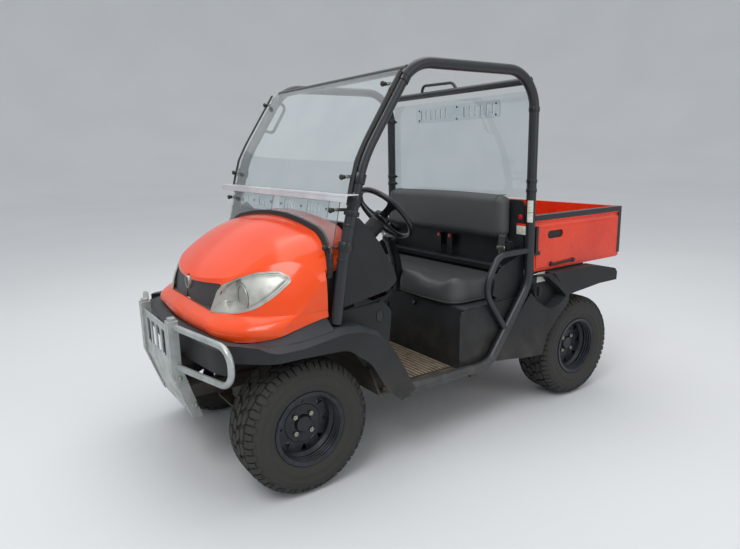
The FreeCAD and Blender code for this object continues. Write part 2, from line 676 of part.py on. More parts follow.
def front_end(inset, z):
    """Outline of the front end seen from above."""
    half = BODY_HALF_WIDTH - inset
    side = [(half, F(560)), (half, F(-175), 110), (half - 150 + 0.3 * inset, F(-350) + inset, 200)]
    rows = side + [(0, F(-408) + inset, 1500)] + [(-row[0], *row[1:]) for row in reversed(side)]
    return outline(rows, "z", z)


def plan(inset, low, high):
    """The front end seen from above, as a solid between two heights."""
    return Part.Face(front_end(inset, low)).extrude(V(0, 0, high - low))


def front_bumper():
    """Moulded front apron between the fenders, with a sloped ledge under the hood's lip."""
    split = BODY_HALF_WIDTH - FENDER_WIDTH - FIT
    crest = 398
    ledge = 55
    wall = 9
    outer = plan(0, 296, crest).fuse(lofted([front_end(0, crest), front_end(ledge, crest + 16)]))
    inner = plan(wall, 290, crest - wall).fuse(
        lofted([front_end(wall, crest - wall), front_end(ledge + wall, crest - wall + 16)]))
    mouth = plan(ledge + 2, crest - 2 * wall, crest + 30)
    keep = block(-split, split, F(-430), F(-230), 290, crest + 20)
    recess = block(-190, 190, F(-430), F(-396), 318, 386)
    return outer.cut(inner).cut(mouth).common(keep).cut(recess).cut(nose_form(3))


FENDER_TOP = (
    (-420, 418, 0), (-300, 424, 200), (-177, 408, 300), (-44, 407, 400), (149, 432, 200), (251, 421, 90),
    (346, 378, 90), (411, 298, 200), (467, 204, 0), (531, 66, 10),
)
FENDER_ARCH = ((446, 34, 10), (372, 94, 100), (285, 245, 150), (164, 338, 100), (-60, 348, 300), (-420, 352, 0))


# Wedge between the hood's bottom edge and the fender's crease. Behind the axle, inner x and height,
# crease x and height
FENDER_WEDGE = (
    (-200, 556, 409, 640, 405), (-103, 592, 427, 652, 407), (-16, 600, 447.3, 656, 409),
    (72, 600, 465.3, 658, 420), (115, 600, 469.5, 658, 427),
)


def fender_form(rows, inset, low_x):
    """Flare between a crease and a lower lip, extruded across."""
    lip = BODY_HALF_WIDTH - inset
    crease = lip - FENDER_CREASE
    top_count = len(FENDER_TOP)
    lip_rows = [(row[0], row[1] - FENDER_FALL * (i < top_count - 1), *row[2:]) for i, row in enumerate(rows)]
    body = prism(rows, "x", low_x, crease)
    return body.fuse(lofted([outline(rows, "x", crease), outline(lip_rows, "x", lip)]))


def front_fender():
    """Left flare over the steered wheel, open below."""
    inner_x = BODY_HALF_WIDTH - FENDER_WIDTH
    rows = [(F(y), z, r) for y, z, r in FENDER_TOP + FENDER_ARCH]
    inner_rows = [(F(y) - 6 * (y > 200), z - 7, r) for y, z, r in FENDER_TOP] + [
        (F(440), 20, 0), (F(360), 80, 0), (F(150), 300, 0), (F(-420), 300, 0)]
    outer = fender_form(rows, 0, inner_x).common(plan(0, 0, 500))
    inner = fender_form(inner_rows, PANEL_WALL, inner_x - BODY_MARGIN).common(plan(PANEL_WALL, 0, 500))
    wires = []
    for y, in_x, in_z, out_x, out_z in FENDER_WEDGE:
        in_x += BODY_HALF_WIDTH - 690
        out_x += BODY_HALF_WIDTH - 690
        wires.append(outline([(in_x - 12, out_z - 6), (in_x - 12, in_z), (in_x, in_z), (out_x, out_z),
                              (out_x, out_z - 6)], "y", F(y)))
    wedge = Part.makeLoft(wires, True, True)
    wedge = wedge.reversed() if wedge.Volume < 0 else wedge
    flap = block(inner_x - BODY_MARGIN, CAGE_X + CAGE_RADIUS + 3, F(335), F(560), 0, 320)
    return joined(outer.cut(inner).cut(flap), wedge.common(plan(0, 0, 500)).cut(
        block(0, inner_x, F(-430), F(560), 0, 500)))


COWL_EDGE = (
    (182, 497), (447, 541, 20), (494, 581, 15), (472, 649, 40), (444, 689, 60), (402, 762, 100), (349, 825, 60),
    (292, 884, 12), (260.6, 875), (243, 808), (206.3, 643),
)


def cowl():
    """Left side panel beside the dashboard, behind the front post."""
    panel = prism([(F(row[0]), *row[1:]) for row in COWL_EDGE], "x", COWL_X - COWL_WALL, COWL_X)
    return panel


def kick_panel():
    """Left inner panel under the cowl, behind the toe board."""
    return prism([
        (F(399), 46.6), (F(346), 190), (F(265), 305), (F(224), 340), (F(224), 469), (F(440), 482, 10),
        (F(490), 430, 40), (F(470), 240, 60), (F(445), 110, 30), (F(430), 46.6),
    ], "x", BODY_HALF_WIDTH - FENDER_WIDTH - FIT - 8, BODY_HALF_WIDTH - FENDER_WIDTH - FIT)


def dashboard():
    """Moulded panel across the cab, with the opening for the steering column."""
    half = COWL_X - COWL_WALL - FIT
    shell = prism([
        (F(290), 850), (F(345), 845, 20), (F(430), 690, 60), (F(462), 590, 30), (F(445), 500, 10),
        (F(400), 485), (F(398), 494), (F(436), 508, 6), (F(452), 590, 24), (F(420), 686, 54), (F(338), 836, 12),
        (F(290), 841),
    ], "x", -half, half)
    start, end = column_point(120), column_point(520)
    return shell.cut(rod(start, end, COVER_RADIUS + 6))


COLUMN_X = 270.0
WHEEL_Y = 673.0                 # behind the front axle
WHEEL_Z = 848.0
COLUMN_TILT = math.radians(40)
COVER_RADIUS = 44.0
COLUMN_RADIUS = 22.0
STEERING_RADIUS = 180.0


def column_point(distance):
    """Point on the steering column's line, below the wheel's centre."""
    return (COLUMN_X, F(WHEEL_Y) - distance * math.cos(COLUMN_TILT), WHEEL_Z - distance * math.sin(COLUMN_TILT))


def steering_column():
    tube_part = rod(column_point(60), column_point(440), COLUMN_RADIUS)
    cover = rod(column_point(62), column_point(250), COVER_RADIUS)
    cover = cover.makeFillet(12, cover.Edges)
    lever = rod(column_point(110), tuple(a + b for a, b in zip(column_point(110), (-120, 10, 10))), 5)
    stay = rod(column_point(425), (COLUMN_X, F(153), 462), 14)
    bore = rod(column_point(50), column_point(110), 10 + RUNNING_FIT)
    body = joined(tube_part, cover, lever, stay)
    bar = rod((-CAGE_X, F(153), 456), (CAGE_X, F(153), 456), 15 + FIT)
    return body.cut(Part.makeCompound([bore, bar]))


def steering_wheel():
    """Rim, three spokes and hub, built flat and then tilted onto the column."""
    rim_ring = Part.makeTorus(STEERING_RADIUS - 14, 14)
    hub = Part.makeCylinder(36, 34, V(0, 0, -50))
    neck = Part.makeCylinder(24, 12, V(0, 0, -60 + FIT))
    shaft = Part.makeCylinder(10, 50, V(0, 0, -105))
    spokes = []
    for turn in (90, 210, 330):
        start = V(24, 0, -34)
        end = V(STEERING_RADIUS - 16, 0, 0)
        spoke = Part.makeCylinder(11, (end - start).Length, start, end - start)
        spoke.rotate(V(0, 0, 0), V(0, 0, 1), turn)
        spokes.append(spoke)
    wheel = joined(rim_ring, hub, neck, shaft, *spokes)
    wheel.rotate(V(0, 0, 0), V(1, 0, 0), -(90 - math.degrees(COLUMN_TILT)))
    wheel.translate(V(*column_point(0)))
    return wheel


def dash_frame():
    """Cross tube between the front posts, with its risers from the rails."""
    reach = CAGE_X - CAGE_RADIUS - FIT
    bar = rod((-reach, F(153), 456), (reach, F(153), 456), 15)
    riser = block(RAIL_X - 12, RAIL_X + 12, F(141), F(165), RAIL_HIGH + RAIL_DEPTH + FIT, 456)
    return joined(bar, riser, mirrored(riser))


def floor_pan():
    low = RAIL_LOW + RAIL_DEPTH + FIT
    half = CAGE_X - CAGE_RADIUS - FIT
    top = low + FLOOR_WALL
    pan = prism([
        (B(-905), low), (F(388), low), (F(332), 185), (F(252), 297), (F(214), 335), (F(214), 470),
        (F(221), 470), (F(221), 338), (F(262), 302), (F(343), 188), (F(396), top), (B(-905), top),
    ], "x", -half, half)
    beside_flap = block(BODY_HALF_WIDTH - FENDER_WIDTH - FIT, BODY_HALF_WIDTH, F(200), F(400), 180, 480)
    return pan.cut(Part.makeCompound([beside_flap, mirrored(beside_flap)]))


def floor_mat():
    low = RAIL_LOW + RAIL_DEPTH + FIT + FLOOR_WALL + FIT
    start, end = F(402), B(-915)
    half = CAGE_X - 80
    base = block(-half, half, start, end, low, low + 4)
    ribs = []
    count = 20
    pitch = (end - start) / count
    for i in range(count):
        y = start + pitch * (i + 0.25)
        ribs.append(block(-half, half, y, y + pitch / 2, low + 2, low + MAT_WALL))
    return joined(base, *ribs)


def seat_base():
    """Box under the bench, open below and behind."""
    low = RAIL_LOW + RAIL_DEPTH + FIT
    half = CAGE_X - CAGE_RADIUS - FIT
    wall = PANEL_WALL
    outer = prism([
        (B(-905) + FIT, low), (B(-872), 275, 40), (B(-858), SEAT_BASE_TOP, 20), (B(-425), SEAT_BASE_TOP),
        (B(-425), low),
    ], "x", -half, half)
    inner = prism([
        (B(-905) + wall, low - 5), (B(-872) + wall, 275, 34), (B(-858) + wall, SEAT_BASE_TOP - wall, 14),
        (B(-400), SEAT_BASE_TOP - wall), (B(-400), low - 5),
    ], "x", -half + wall, half - wall)
    raised = prism([
        (B(-782), 358, 10), (B(-892), 350, 14), (B(-905), 318, 14), (B(-908), 90, 8), (B(-760), 90, 8),
        (B(-700), 230, 20),
    ], "x", half - 1, CAGE_X - HIP_RADIUS - 3)
    fuel_door = prism([
        (-420, 120, 10), (-60, 120, 10), (-60, 300, 10), (-420, 300, 10),
    ], "y", B(-905) - 8, B(-860)).common(prism([
        (B(-905) + FIT - 5, low), (B(-872) - 5, 275), (B(-872) + 4, 275), (B(-905) + 9, low),
    ], "x", -half, half))
    return joined(outer.cut(inner), raised, mirrored(raised), fuel_door)


def side_shield():
    """Upright panel between the bench and the hip guard, notched in front."""
    low = SEAT_BASE_TOP + FIT
    x = CAGE_X - CAGE_RADIUS - 10
    return prism([
        (B(-442) - FIT, low), (B(-442) - FIT, 594, 10), (B(-546), 562, 60), (B(-606), 532, 30), (B(-643), 483, 20),
        (B(-655), 398, 4), (B(-624), 384, 4), (B(-640), low),
    ], "x", x - PANEL_WALL, x)


def seat_cushion():
    low = SEAT_BASE_TOP + FIT
    body = prism([
        (B(-878), low + 12, 20), (B(-880), SEAT_TOP, 45), (B(-800), SEAT_TOP + 26, 45), (B(-700), SEAT_TOP - 8, 120),
        (B(-450), SEAT_TOP - 12, 25), (B(-450), low, 10),
    ], "x", -SEAT_HALF_WIDTH, SEAT_HALF_WIDTH)
    ends = [edge for edge in body.Edges if abs(abs(edge.CenterOfMass.x) - SEAT_HALF_WIDTH) < 0.1]
    return body.makeFillet(18, ends)


def seat_backrest():
    body = prism([
        (B(-536), 680, 34), (B(-540), 922, 40), (B(-442) - FIT, 922, 30), (B(-442) - FIT, 680, 20),
    ], "x", -BACKREST_HALF_WIDTH, BACKREST_HALF_WIDTH)
    ends = [edge for edge in body.Edges if abs(abs(edge.CenterOfMass.x) - BACKREST_HALF_WIDTH) < 0.1]
    return body.makeFillet(18, ends)


def headboard():
    """Upright panel behind the bench, between the rear posts, with a step over the cushion."""
    half = CAGE_X - CAGE_RADIUS - FIT
    panel = prism([
        (-half, SEAT_BASE_TOP + FIT), (half, SEAT_BASE_TOP + FIT), (half, 860, 20), (half - 20, 889, 10),
        (-half + 20, 889, 10), (-half, 860, 20),
    ], "y", B(-442), B(-430))
    step_half = CAGE_X - CAGE_RADIUS - 10 - PANEL_WALL - FIT
    step = prism([
        (B(-441), BELT_STEP_Z - 36), (B(-484), BELT_STEP_Z - 36, 6), (B(-488), BELT_STEP_Z, 8), (B(-441), BELT_STEP_Z),
    ], "x", -step_half, step_half)
    return joined(panel, step)


def seat_belts():
    """Two buckles standing on the step behind the bench, and the reel at each end."""
    items = []
    for x in (-60, 40):
        stalk = block(x - 12, x + 12, B(-466), B(-460), BELT_STEP_Z + FIT, 590)
        buckle = block(x - 22, x + 22, B(-476), B(-452), 585, 655)
        items.append(joined(stalk, buckle))
    y, z = B(-505), 636
    reel = rod((REEL_X, y, z), (REEL_X + 40, y, z), 36)
    foot = block(REEL_X + 8, REEL_X + 32, y, B(-442) - FIT, z - 24, z + 4)
    reel = joined(reel, foot)
    return items + [reel, mirrored(reel)]


# Roll cage

def hoop_rows(x):
    return [
        (x, F(151), 440), (x, F(196), 713, 600), (x, F(304.5), 1127, 600), (x, F(579), CAGE_TOP, 200),
        (x, B(REAR_POST), CAGE_TOP, 190), (x, B(REAR_POST), 439, 200), (x, B(REAR_POST - 297), SILL_Z, 120),
        (x, F(500), SILL_Z),
    ]


def side_hoop():
    return tube(hoop_rows(CAGE_X), CAGE_RADIUS)


def hip_guard():
    loop = tube([
        (CAGE_X, B(REAR_POST), 622), (CAGE_X, B(-655), 618, 90), (CAGE_X, B(-760), 450, 130),
        (CAGE_X, B(-590), 205),
    ], HIP_RADIUS)
    return loop.cut(tube(hoop_rows(CAGE_X), CAGE_RADIUS + FIT))


def crossbars():
    """Front and rear bars between the hoops, and the grab loop on the rear bar."""
    hoops = Part.makeCompound([tube(hoop_rows(x), CAGE_RADIUS + FIT) for x in (CAGE_X, -CAGE_X)])
    bars = []
    for y, z in ((F(556), 1506), (B(-455), 1496)):
        bars.append(rod((-CAGE_X, y, z), (CAGE_X, y, z), CROSSBAR_RADIUS))
    grab = tube([
        (-246, B(-455), 1500), (-234, B(-455), 1553, 34), (34, B(-455), 1546, 44), (78, B(-455), 1498),
    ], GRAB_RADIUS)
    bars[1] = joined(bars[1], grab)
    cut = []
    for bar in bars:
        pieces = bar.cut(hoops).Solids
        cut.append(max(pieces, key=lambda solid: solid.Volume))
    return cut


def grab_handle():
    """Loop on the passenger's front post, coped against the tube."""
    rows = [(-CAGE_X, F(528), 1463), (-CAGE_X, F(592), 1440, 30), (-CAGE_X, F(492), 1282, 30),
            (-CAGE_X, F(418), 1298)]
    loop = tube(rows, GRAB_RADIUS)
    pieces = loop.cut(tube(hoop_rows(-CAGE_X), CAGE_RADIUS + FIT)).Solids
    return max(pieces, key=lambda solid: solid.Volume)


# Windshield and rear window

LEAN = 0.2346                   # rearward lean of the lower sheet, per unit height
UPPER_LEAN = 0.6
LEDGE_Z = 986.0
SHEET_HALF = CAGE_X - 29.0      # lower sheet; the upper one is 2 mm wider
UPPER_HALF = SHEET_HALF + 2
UPPER_TOP = 1502.0
EDGING_WIDTH = 24.0


def lower_plane_y(z):
    return F(138) + (z - 645) * LEAN


def sheet_slab(low_z, high_z, lean, at_low, front, back, half):
    """Leaning slab between two heights; front and back are offsets from its plane."""
    rise = high_z - low_z
    return prism([
        (at_low + front, low_z), (at_low + rise * lean + front, high_z),
        (at_low + rise * lean + back, high_z), (at_low + back, low_z),
    ], "x", -half, half)


def windshield_lower():
    slab = sheet_slab(600, LEDGE_Z, LEAN, lower_plane_y(600), -WINDOW_WALL, 0, SHEET_HALF)
    sheet = slab.cut(nose_form(4))
    return max(sheet.Solids, key=lambda solid: solid.Volume)


def windshield_seal():
    """Rubber arch under the lower sheet, lying on the nose."""
    slab = sheet_slab(640, 960, LEAN, lower_plane_y(640), -WINDOW_WALL - 9, 9, wide(NOSE_HALF_WIDTH))
    band = slab.common(nose_form(18)).cut(nose_form(FIT))
    groove = sheet_slab(590, LEDGE_Z, LEAN, lower_plane_y(590), -WINDOW_WALL - FIT, FIT, SHEET_HALF + 1)
    band = band.cut(groove.cut(nose_form(3.7)))
    return max(band.Solids, key=lambda solid: solid.Volume)


def windshield_ledge():
    """Clear shelf strip between the two sheets, folded along its front."""
    y = lower_plane_y(LEDGE_Z)
    return prism([
        (y - 42, LEDGE_Z - 6), (y - 38, LEDGE_Z - 6), (y - 38, LEDGE_Z + FIT), (y + 20, LEDGE_Z + FIT),
        (y + 20, LEDGE_Z + 4), (y - 42, LEDGE_Z + 4),
    ], "x", -BODY_HALF_WIDTH + 6, BODY_HALF_WIDTH - 6)


def windshield_upper():
    low = LEDGE_Z + 4 + FIT
    return sheet_slab(low, UPPER_TOP, UPPER_LEAN, lower_plane_y(LEDGE_Z) - 22, -WINDOW_WALL, 0, UPPER_HALF)


def windshield_edging():
    """Dark strip along the upper sheet's left edge, on its front."""
    low = LEDGE_Z + 4 + FIT
    front = -WINDOW_WALL - 13
    slab = sheet_slab(low, UPPER_TOP, UPPER_LEAN, lower_plane_y(LEDGE_Z) - 22, front, -WINDOW_WALL - FIT, UPPER_HALF)
    return slab.common(block(UPPER_HALF - EDGING_WIDTH, UPPER_HALF, F(0), F(700), low, UPPER_TOP))


def rear_window():
    y = B(REAR_POST) + math.sqrt(CAGE_RADIUS ** 2 - 11 ** 2) + FIT
    half = CAGE_X - 11
    sheet = block(-half, half, y, y + WINDOW_WALL, 898, 1453)
    slots = []
    for side in (-1, 1):
        for i in range(6):
            x = side * (80 + 46 * i)
            slots.append(prism([(x - 7, 1350, 6), (x + 7, 1350, 6), (x + 7, 1408, 6), (x - 7, 1408, 6)],
                               "y", y - 2, y + WINDOW_WALL + 2))
    return sheet.cut(Part.makeCompound(slots))


# Rear body

def flare_plan(inset, low, high):
    """Left rear side seen from above: flush at the post, flared over the wheel."""
    lip = BODY_HALF_WIDTH - inset
    return prism([
        (lip - 68, B(-700)), (lip - 64, B(-500), 400), (lip - 26, B(-340), 200), (lip, B(-250), 200),
        (lip, B(288 - inset), max(2, 40 - inset)), (BODY_HALF_WIDTH - 190, B(288 - inset)),
        (BODY_HALF_WIDTH - 190, B(-700)),
    ], "z", low, high)


POCKET_FLOOR = 68.0             # pocket's floor inside the fender lip
POCKET_WALL = 5.0
CAP_Y = -375.0                  # behind the rear axle
CAP_Z = 392.0
CAP_RADIUS = 32.0

# Filler pocket seen from the side. Behind the rear axle, height, corner radius
POCKET_OUTLINE = (
    (-330, 480, 8), (-438, 480, 20), (-450, 415, 40), (-398, 342, 60), (-305, 276, 44), (-238, 302, 40),
    (-176, 344, 16), (-198, 366, 8),
)


def quarter_rows():
    reach = 343.0
    start = math.asin(24 / reach)
    rows = [(B(-675), 55.2), (B(-670), 50), (B(-470), 24), (B(-reach * math.cos(start)), 24)]
    for degrees in (24, 43, 62):
        a = math.radians(degrees)
        rows.append((B(-reach * math.cos(a)), reach * math.sin(a), 60))
    rows += [(B(-158), 340), (B(-158), 350), (B(-296), 488), (B(-394.3), 488), (B(-396.6), 427.4)]
    return rows


def pocket_prism(inset, low, high):
    wire = outline([(B(y), z, radius) for y, z, radius in POCKET_OUTLINE], "x", low)
    if inset:
        wire = wire.makeOffset2D(-inset)
    return Part.Face(wire).extrude(V(high - low, 0, 0))


def quarter_panel(with_pocket):
    low = BODY_HALF_WIDTH - 100
    high = BODY_HALF_WIDTH + BODY_MARGIN
    skin = prism(quarter_rows(), "x", low, high).common(flare_plan(0, 0, 520)).cut(flare_plan(PANEL_WALL, 0, 520))
    if not with_pocket:
        return skin
    floor = BODY_HALF_WIDTH - POCKET_FLOOR - POCKET_WALL
    cup = pocket_prism(0, floor, high).common(flare_plan(0, 0, 520)).common(prism(quarter_rows(), "x", floor, high))
    hollow = pocket_prism(POCKET_WALL, floor + POCKET_WALL, high)
    return joined(skin, cup).cut(hollow)


def fuel_cap():
    x = BODY_HALF_WIDTH - POCKET_FLOOR + FIT
    cap = rod((x, B(CAP_Y), CAP_Z), (x + 26, B(CAP_Y), CAP_Z), CAP_RADIUS)
    grip = block(x + 20, x + 38, B(CAP_Y) - 6, B(CAP_Y) + 6, CAP_Z - CAP_RADIUS + 6, CAP_Z + CAP_RADIUS - 6)
    return joined(cap, grip)


def rear_fender():
    """Left flare over the rear wheel, open below."""
    seam = FIT * math.sqrt(2)
    rows = [(B(-296) + seam, 488), (B(-158) + seam, 350), (B(-81), 357, 60), (B(120), 374, 200), (B(288), 374),
            (B(292), 420, 20), (B(270), 446, 30), (B(100), 484, 200), (B(-60), 488)]
    low = BODY_HALF_WIDTH - 90
    outer = prism(rows, "x", low, BODY_HALF_WIDTH)
    inner_rows = [(B(-285), 481), (B(-150), 340), (B(280), 340), (B(283), 430), (B(262), 439, 24),
                  (B(96), 477, 190), (B(-60), 481)]
    inner = prism(inner_rows, "x", low - BODY_MARGIN, BODY_HALF_WIDTH - PANEL_WALL)
    return outer.cut(inner)


# Bed

def bed_side():
    """Left wall of pressed sheet with a raised panel and a slot."""
    x = BED_HALF_WIDTH
    y = B(BED_FRONT)
    wall = prism([
        (x, BED_BOTTOM), (x, 744), (x - 6, 752), (x - 6, 764), (x, 770), (x, BED_RAIL_LOW - FIT),
        (x - SHEET, BED_RAIL_LOW - FIT), (x - SHEET, 772), (x - 6 - SHEET, 766), (x - 6 - SHEET, 751),
        (x - SHEET, 742), (x - SHEET, BED_BOTTOM),
    ], "y", y, B(374))
    panel = prism([
        (y + 12, BED_BOTTOM + 18, 10), (B(352), BED_BOTTOM + 18, 10), (B(352), 732, 10), (y + 12, 732, 10),
    ], "x", x - 1, x + BED_PANEL_RISE)
    start, end, low, high = BED_SLOT
    radius = (high - low) / 2 - 0.5
    slot = prism([(B(start), low, radius), (B(end), low, radius), (B(end), high, radius), (B(start), high, radius)],
                 "x", x - 20, x + 20)
    return joined(wall, panel).cut(slot)


def bed_rail():
    """Black channel over the left wall's top edge, with the rear corner post."""
    x = BED_HALF_WIDTH
    y = B(BED_FRONT)
    end = B(REAR_OVERHANG)
    rail_end = B(370)
    outer = block(x - BED_RAIL, x + 2, y, rail_end, BED_RAIL_LOW, BED_TOP)
    inner = block(x - BED_RAIL + SHEET, x - SHEET, y - 5, rail_end + 5, BED_RAIL_LOW - 5, BED_TOP - SHEET)
    post_x = x + 2 - BED_POST_WIDTH
    post = block(post_x, x + 2, B(374) + FIT, end, TAILGATE_HINGE_Z + 10 + FIT, BED_TOP)
    bridge = block(post_x, x + 2, rail_end - 10, end, BED_RAIL_LOW, BED_TOP)
    return joined(outer.cut(inner), post, bridge)


def bed_latch():
    """Upright latch bar at the wall's front and the release lever along its foot."""
    x = BED_HALF_WIDTH + BED_PANEL_RISE + FIT
    bar = block(x, x + 10, B(-392), B(-374), 604, 748)
    plate = block(x, x + 4, B(-396), B(-350), 590, 610)
    lever = joined(rod((x + 7, B(-262), 523), (x + 7, B(-54), 531), 7),
                   block(x, x + 8, B(-262), B(-244), 518, 540), block(x, x + 8, B(-72), B(-54), 518, 540))
    return [joined(bar, plate), lever]


def bed_floor():
    """Floor sheet with its two bearers, hinge lugs and tailgate pins."""
    half = BED_HALF_WIDTH - SHEET - FIT
    floor = block(-half, half, B(BED_FRONT) + SHEET + FIT, B(374), BED_BOTTOM, BED_BOTTOM + SHEET)
    tread = block(-BED_PLATE_HALF, BED_PLATE_HALF, B(-340), B(350), BED_BOTTOM + SHEET - 1, BED_PLATE_TOP)
    bearer = block(158, 182, B(-370), B(300), 451, BED_BOTTOM)
    lug = block(160, 180, B(BED_HINGE_Y) - 26, B(BED_HINGE_Y) + 26, BED_HINGE_Z - 22, BED_BOTTOM)
    hole = rod((150, B(BED_HINGE_Y), BED_HINGE_Z), (190, B(BED_HINGE_Y), BED_HINGE_Z), 10 + RUNNING_FIT)
    lug = lug.cut(hole)
    pivot_y = B(386)
    ear = block(half - 14, half, B(350), pivot_y + 10, BED_BOTTOM + SHEET - 1, TAILGATE_HINGE_Z + 10)
    pin = rod((half - 34, pivot_y, TAILGATE_HINGE_Z), (half - 4, pivot_y, TAILGATE_HINGE_Z), 5)
    parts = [bearer, lug, ear, pin]
    return joined(floor, tread, *parts, *[mirrored(part) for part in parts])


def bed_headboard():
    half = BED_HALF_WIDTH - 6 - SHEET - FIT
    y = B(BED_FRONT)
    top = BED_RAIL_LOW - FIT
    panel = block(-half, half, y, y + SHEET, BED_BOTTOM, top)
    ribs = [block(x - 20, x + 20, y + SHEET - 1, y + 14, BED_BOTTOM + SHEET + FIT, top - 10)
            for x in (-400, -133, 133, 400)]
    cap_half = half - 30
    cap = block(-cap_half, cap_half, y, y + 30, top - SHEET, top).fuse(
        block(-cap_half, cap_half, y, y + SHEET, top - 1, BED_TOP)).fuse(
        block(-cap_half, cap_half, y, y + 30, BED_TOP - SHEET, BED_TOP))
    return joined(panel, cap, *ribs)


def tailgate():
    half = BED_HALF_WIDTH - SHEET - 20
    y = B(377)
    axis_y = B(386)
    panel = block(-half, half, y, y + SHEET, TAILGATE_HINGE_Z, BED_TOP)
    rail = block(-half, half, y, B(REAR_OVERHANG), BED_TOP - SHEET, BED_TOP)
    rail_lip = block(-half, half, B(REAR_OVERHANG) - SHEET, B(REAR_OVERHANG), BED_TOP - 30, BED_TOP)
    ribs = [block(x - 18, x + 18, y + SHEET - 1, y + 18, TAILGATE_HINGE_Z + 12, BED_TOP - SHEET + 1)
            for x in (-420, -140, 140, 420)]
    roll = rod((-half, axis_y, TAILGATE_HINGE_Z), (half, axis_y, TAILGATE_HINGE_Z), 10)
    body = joined(panel, rail, rail_lip, roll, *ribs)
    bores = [rod((sign * (half - 30), axis_y, TAILGATE_HINGE_Z), (sign * (half + 5), axis_y, TAILGATE_HINGE_Z),
                 5 + RUNNING_FIT) for sign in (-1, 1)]
    return body.cut(Part.makeCompound(bores))


def bed_mounts():
    """Hinge brackets on the rear rails and the beam that the bed's front rests on."""
    items = []
    base = RAIL_HIGH + RAIL_DEPTH + FIT
    plate = prism([(B(BED_HINGE_Y - 70), base), (B(BED_HINGE_Y + 70), base), (B(BED_HINGE_Y + 22), BED_HINGE_Z, 10),
                   (B(BED_HINGE_Y + 22), BED_HINGE_Z + 24, 10), (B(BED_HINGE_Y - 22), BED_HINGE_Z + 24, 10),
                   (B(BED_HINGE_Y - 22), BED_HINGE_Z, 10)], "x", RAIL_X - 18, RAIL_X + 2)
    pin = rod((158, B(BED_HINGE_Y), BED_HINGE_Z), (RAIL_X, B(BED_HINGE_Y), BED_HINGE_Z), 10)
    bracket = joined(plate, pin)
    items += [bracket, mirrored(bracket)]
    beam = block(-RAIL_X - 15, RAIL_X + 15, B(-300), B(-264), 400, 451 - FIT)
    leg = block(RAIL_X - 15, RAIL_X + 15, B(-300), B(-264), base, 410)
    items.append(joined(beam, leg, mirrored(leg)))
    return items


# Front guard

def brush_guard():
    """Two uprights, the plate between them, the skid plate and the swept side loops."""
    front = -FRONT_OVERHANG
    upright = prism([
        (F(front), 465), (F(front + 44), 465), (F(front + 44), 262), (F(-338), 14), (F(-382), 14), (F(front), 232),
    ], "x", 197, 241)
    plate = prism([
        (F(front + 8), 440), (F(front + 14), 440), (F(front + 14), 236), (F(-372), 14), (F(-378), 14),
        (F(front + 8), 232),
    ], "x", -200, 200)
    slots = []
    for x, half, z0, z1 in ((-120, 26, 290, 410), (-40, 26, 290, 410), (40, 26, 290, 410), (120, 26, 290, 410)):
        slots.append(prism([(x - half, z0, 12), (x + half, z0, 12), (x + half, z1, 12), (x - half, z1, 12)],
                           "y", F(front - 5), F(front + 30)))
    loop = tube([
        (225, F(-428), 443), (624, F(-332), 428, 74), (624, F(-332), 266, 74), (225, F(-428), 262),
    ], 14)
    body = joined(upright, mirrored(upright), plate, loop, mirrored(loop))
    return body.cut(Part.makeCompound(slots))


def main():
    os.makedirs("parts", exist_ok=True)
    wheels()
    save("chassis_frame", rail(RAIL_X), rail(-RAIL_X), dash_frame(), *crossmembers())
    save("front_subframe", *front_subframe())
    save("front_differential", front_differential())
    save("lower_arms", lower_arm(), mirrored(lower_arm()))
    save("knuckle_left", knuckle(), strut())
    save("knuckle_right", mirrored(knuckle()), mirrored(strut()))
    housing, rods = steering_gear()
    save("steering_rack", housing)
    save("tie_rods", rods)
    save("rear_axle", rear_axle())
    save("leaf_springs", *leaf_springs())
    save("engine_block", engine_block())
    for node, shapes in hood_group().items():
        save(node, *shapes)
    save("front_bumper", front_bumper())
    save("front_fenders", front_fender(), mirrored(front_fender()))
    sides = [cowl(), kick_panel()]
    save("cowl_panels", *sides, *[mirrored(panel) for panel in sides])
    save("dashboard", dashboard())
    save("steering_column", steering_column())
    save("steering_wheel", steering_wheel())
    save("floor_pan", floor_pan())
    save("floor_mat", floor_mat())
    save("seat_base", seat_base())
    save("side_shields", side_shield(), mirrored(side_shield()))
    save("seat_cushion", seat_cushion())
    save("seat_backrest", seat_backrest())
    save("headboard", headboard())
    save("seat_belts", *seat_belts())
    save("side_hoop_left", side_hoop())
    save("side_hoop_right", mirrored(side_hoop()))
    save("hip_guards", hip_guard(), mirrored(hip_guard()))
    save("cage_crossbars", *crossbars(), grab_handle())
    save("windshield_lower", windshield_lower())
    save("windshield_seal", windshield_seal())
    save("windshield_ledge", windshield_ledge())
    save("windshield_upper", windshield_upper())
    save("windshield_edging", windshield_edging(), mirrored(windshield_edging()))
    save("rear_window", rear_window())
    save("quarter_panels", quarter_panel(True), mirrored(quarter_panel(False)))
    save("fuel_cap", fuel_cap())
    save("rear_fenders", rear_fender(), mirrored(rear_fender()))
    save("bed_sides", bed_side(), mirrored(bed_side()))
    save("bed_rails", bed_rail(), mirrored(bed_rail()))
    latches = bed_latch()
    save("bed_latches", *latches, *[mirrored(item) for item in latches])
    save("bed_floor", bed_floor())
    save("bed_headboard", bed_headboard())
    save("tailgate", tailgate())
    save("bed_mounts", *bed_mounts())
    save("brush_guard", brush_guard())


main()
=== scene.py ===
import math

import bpy
from mathutils import Matrix, Vector, noise


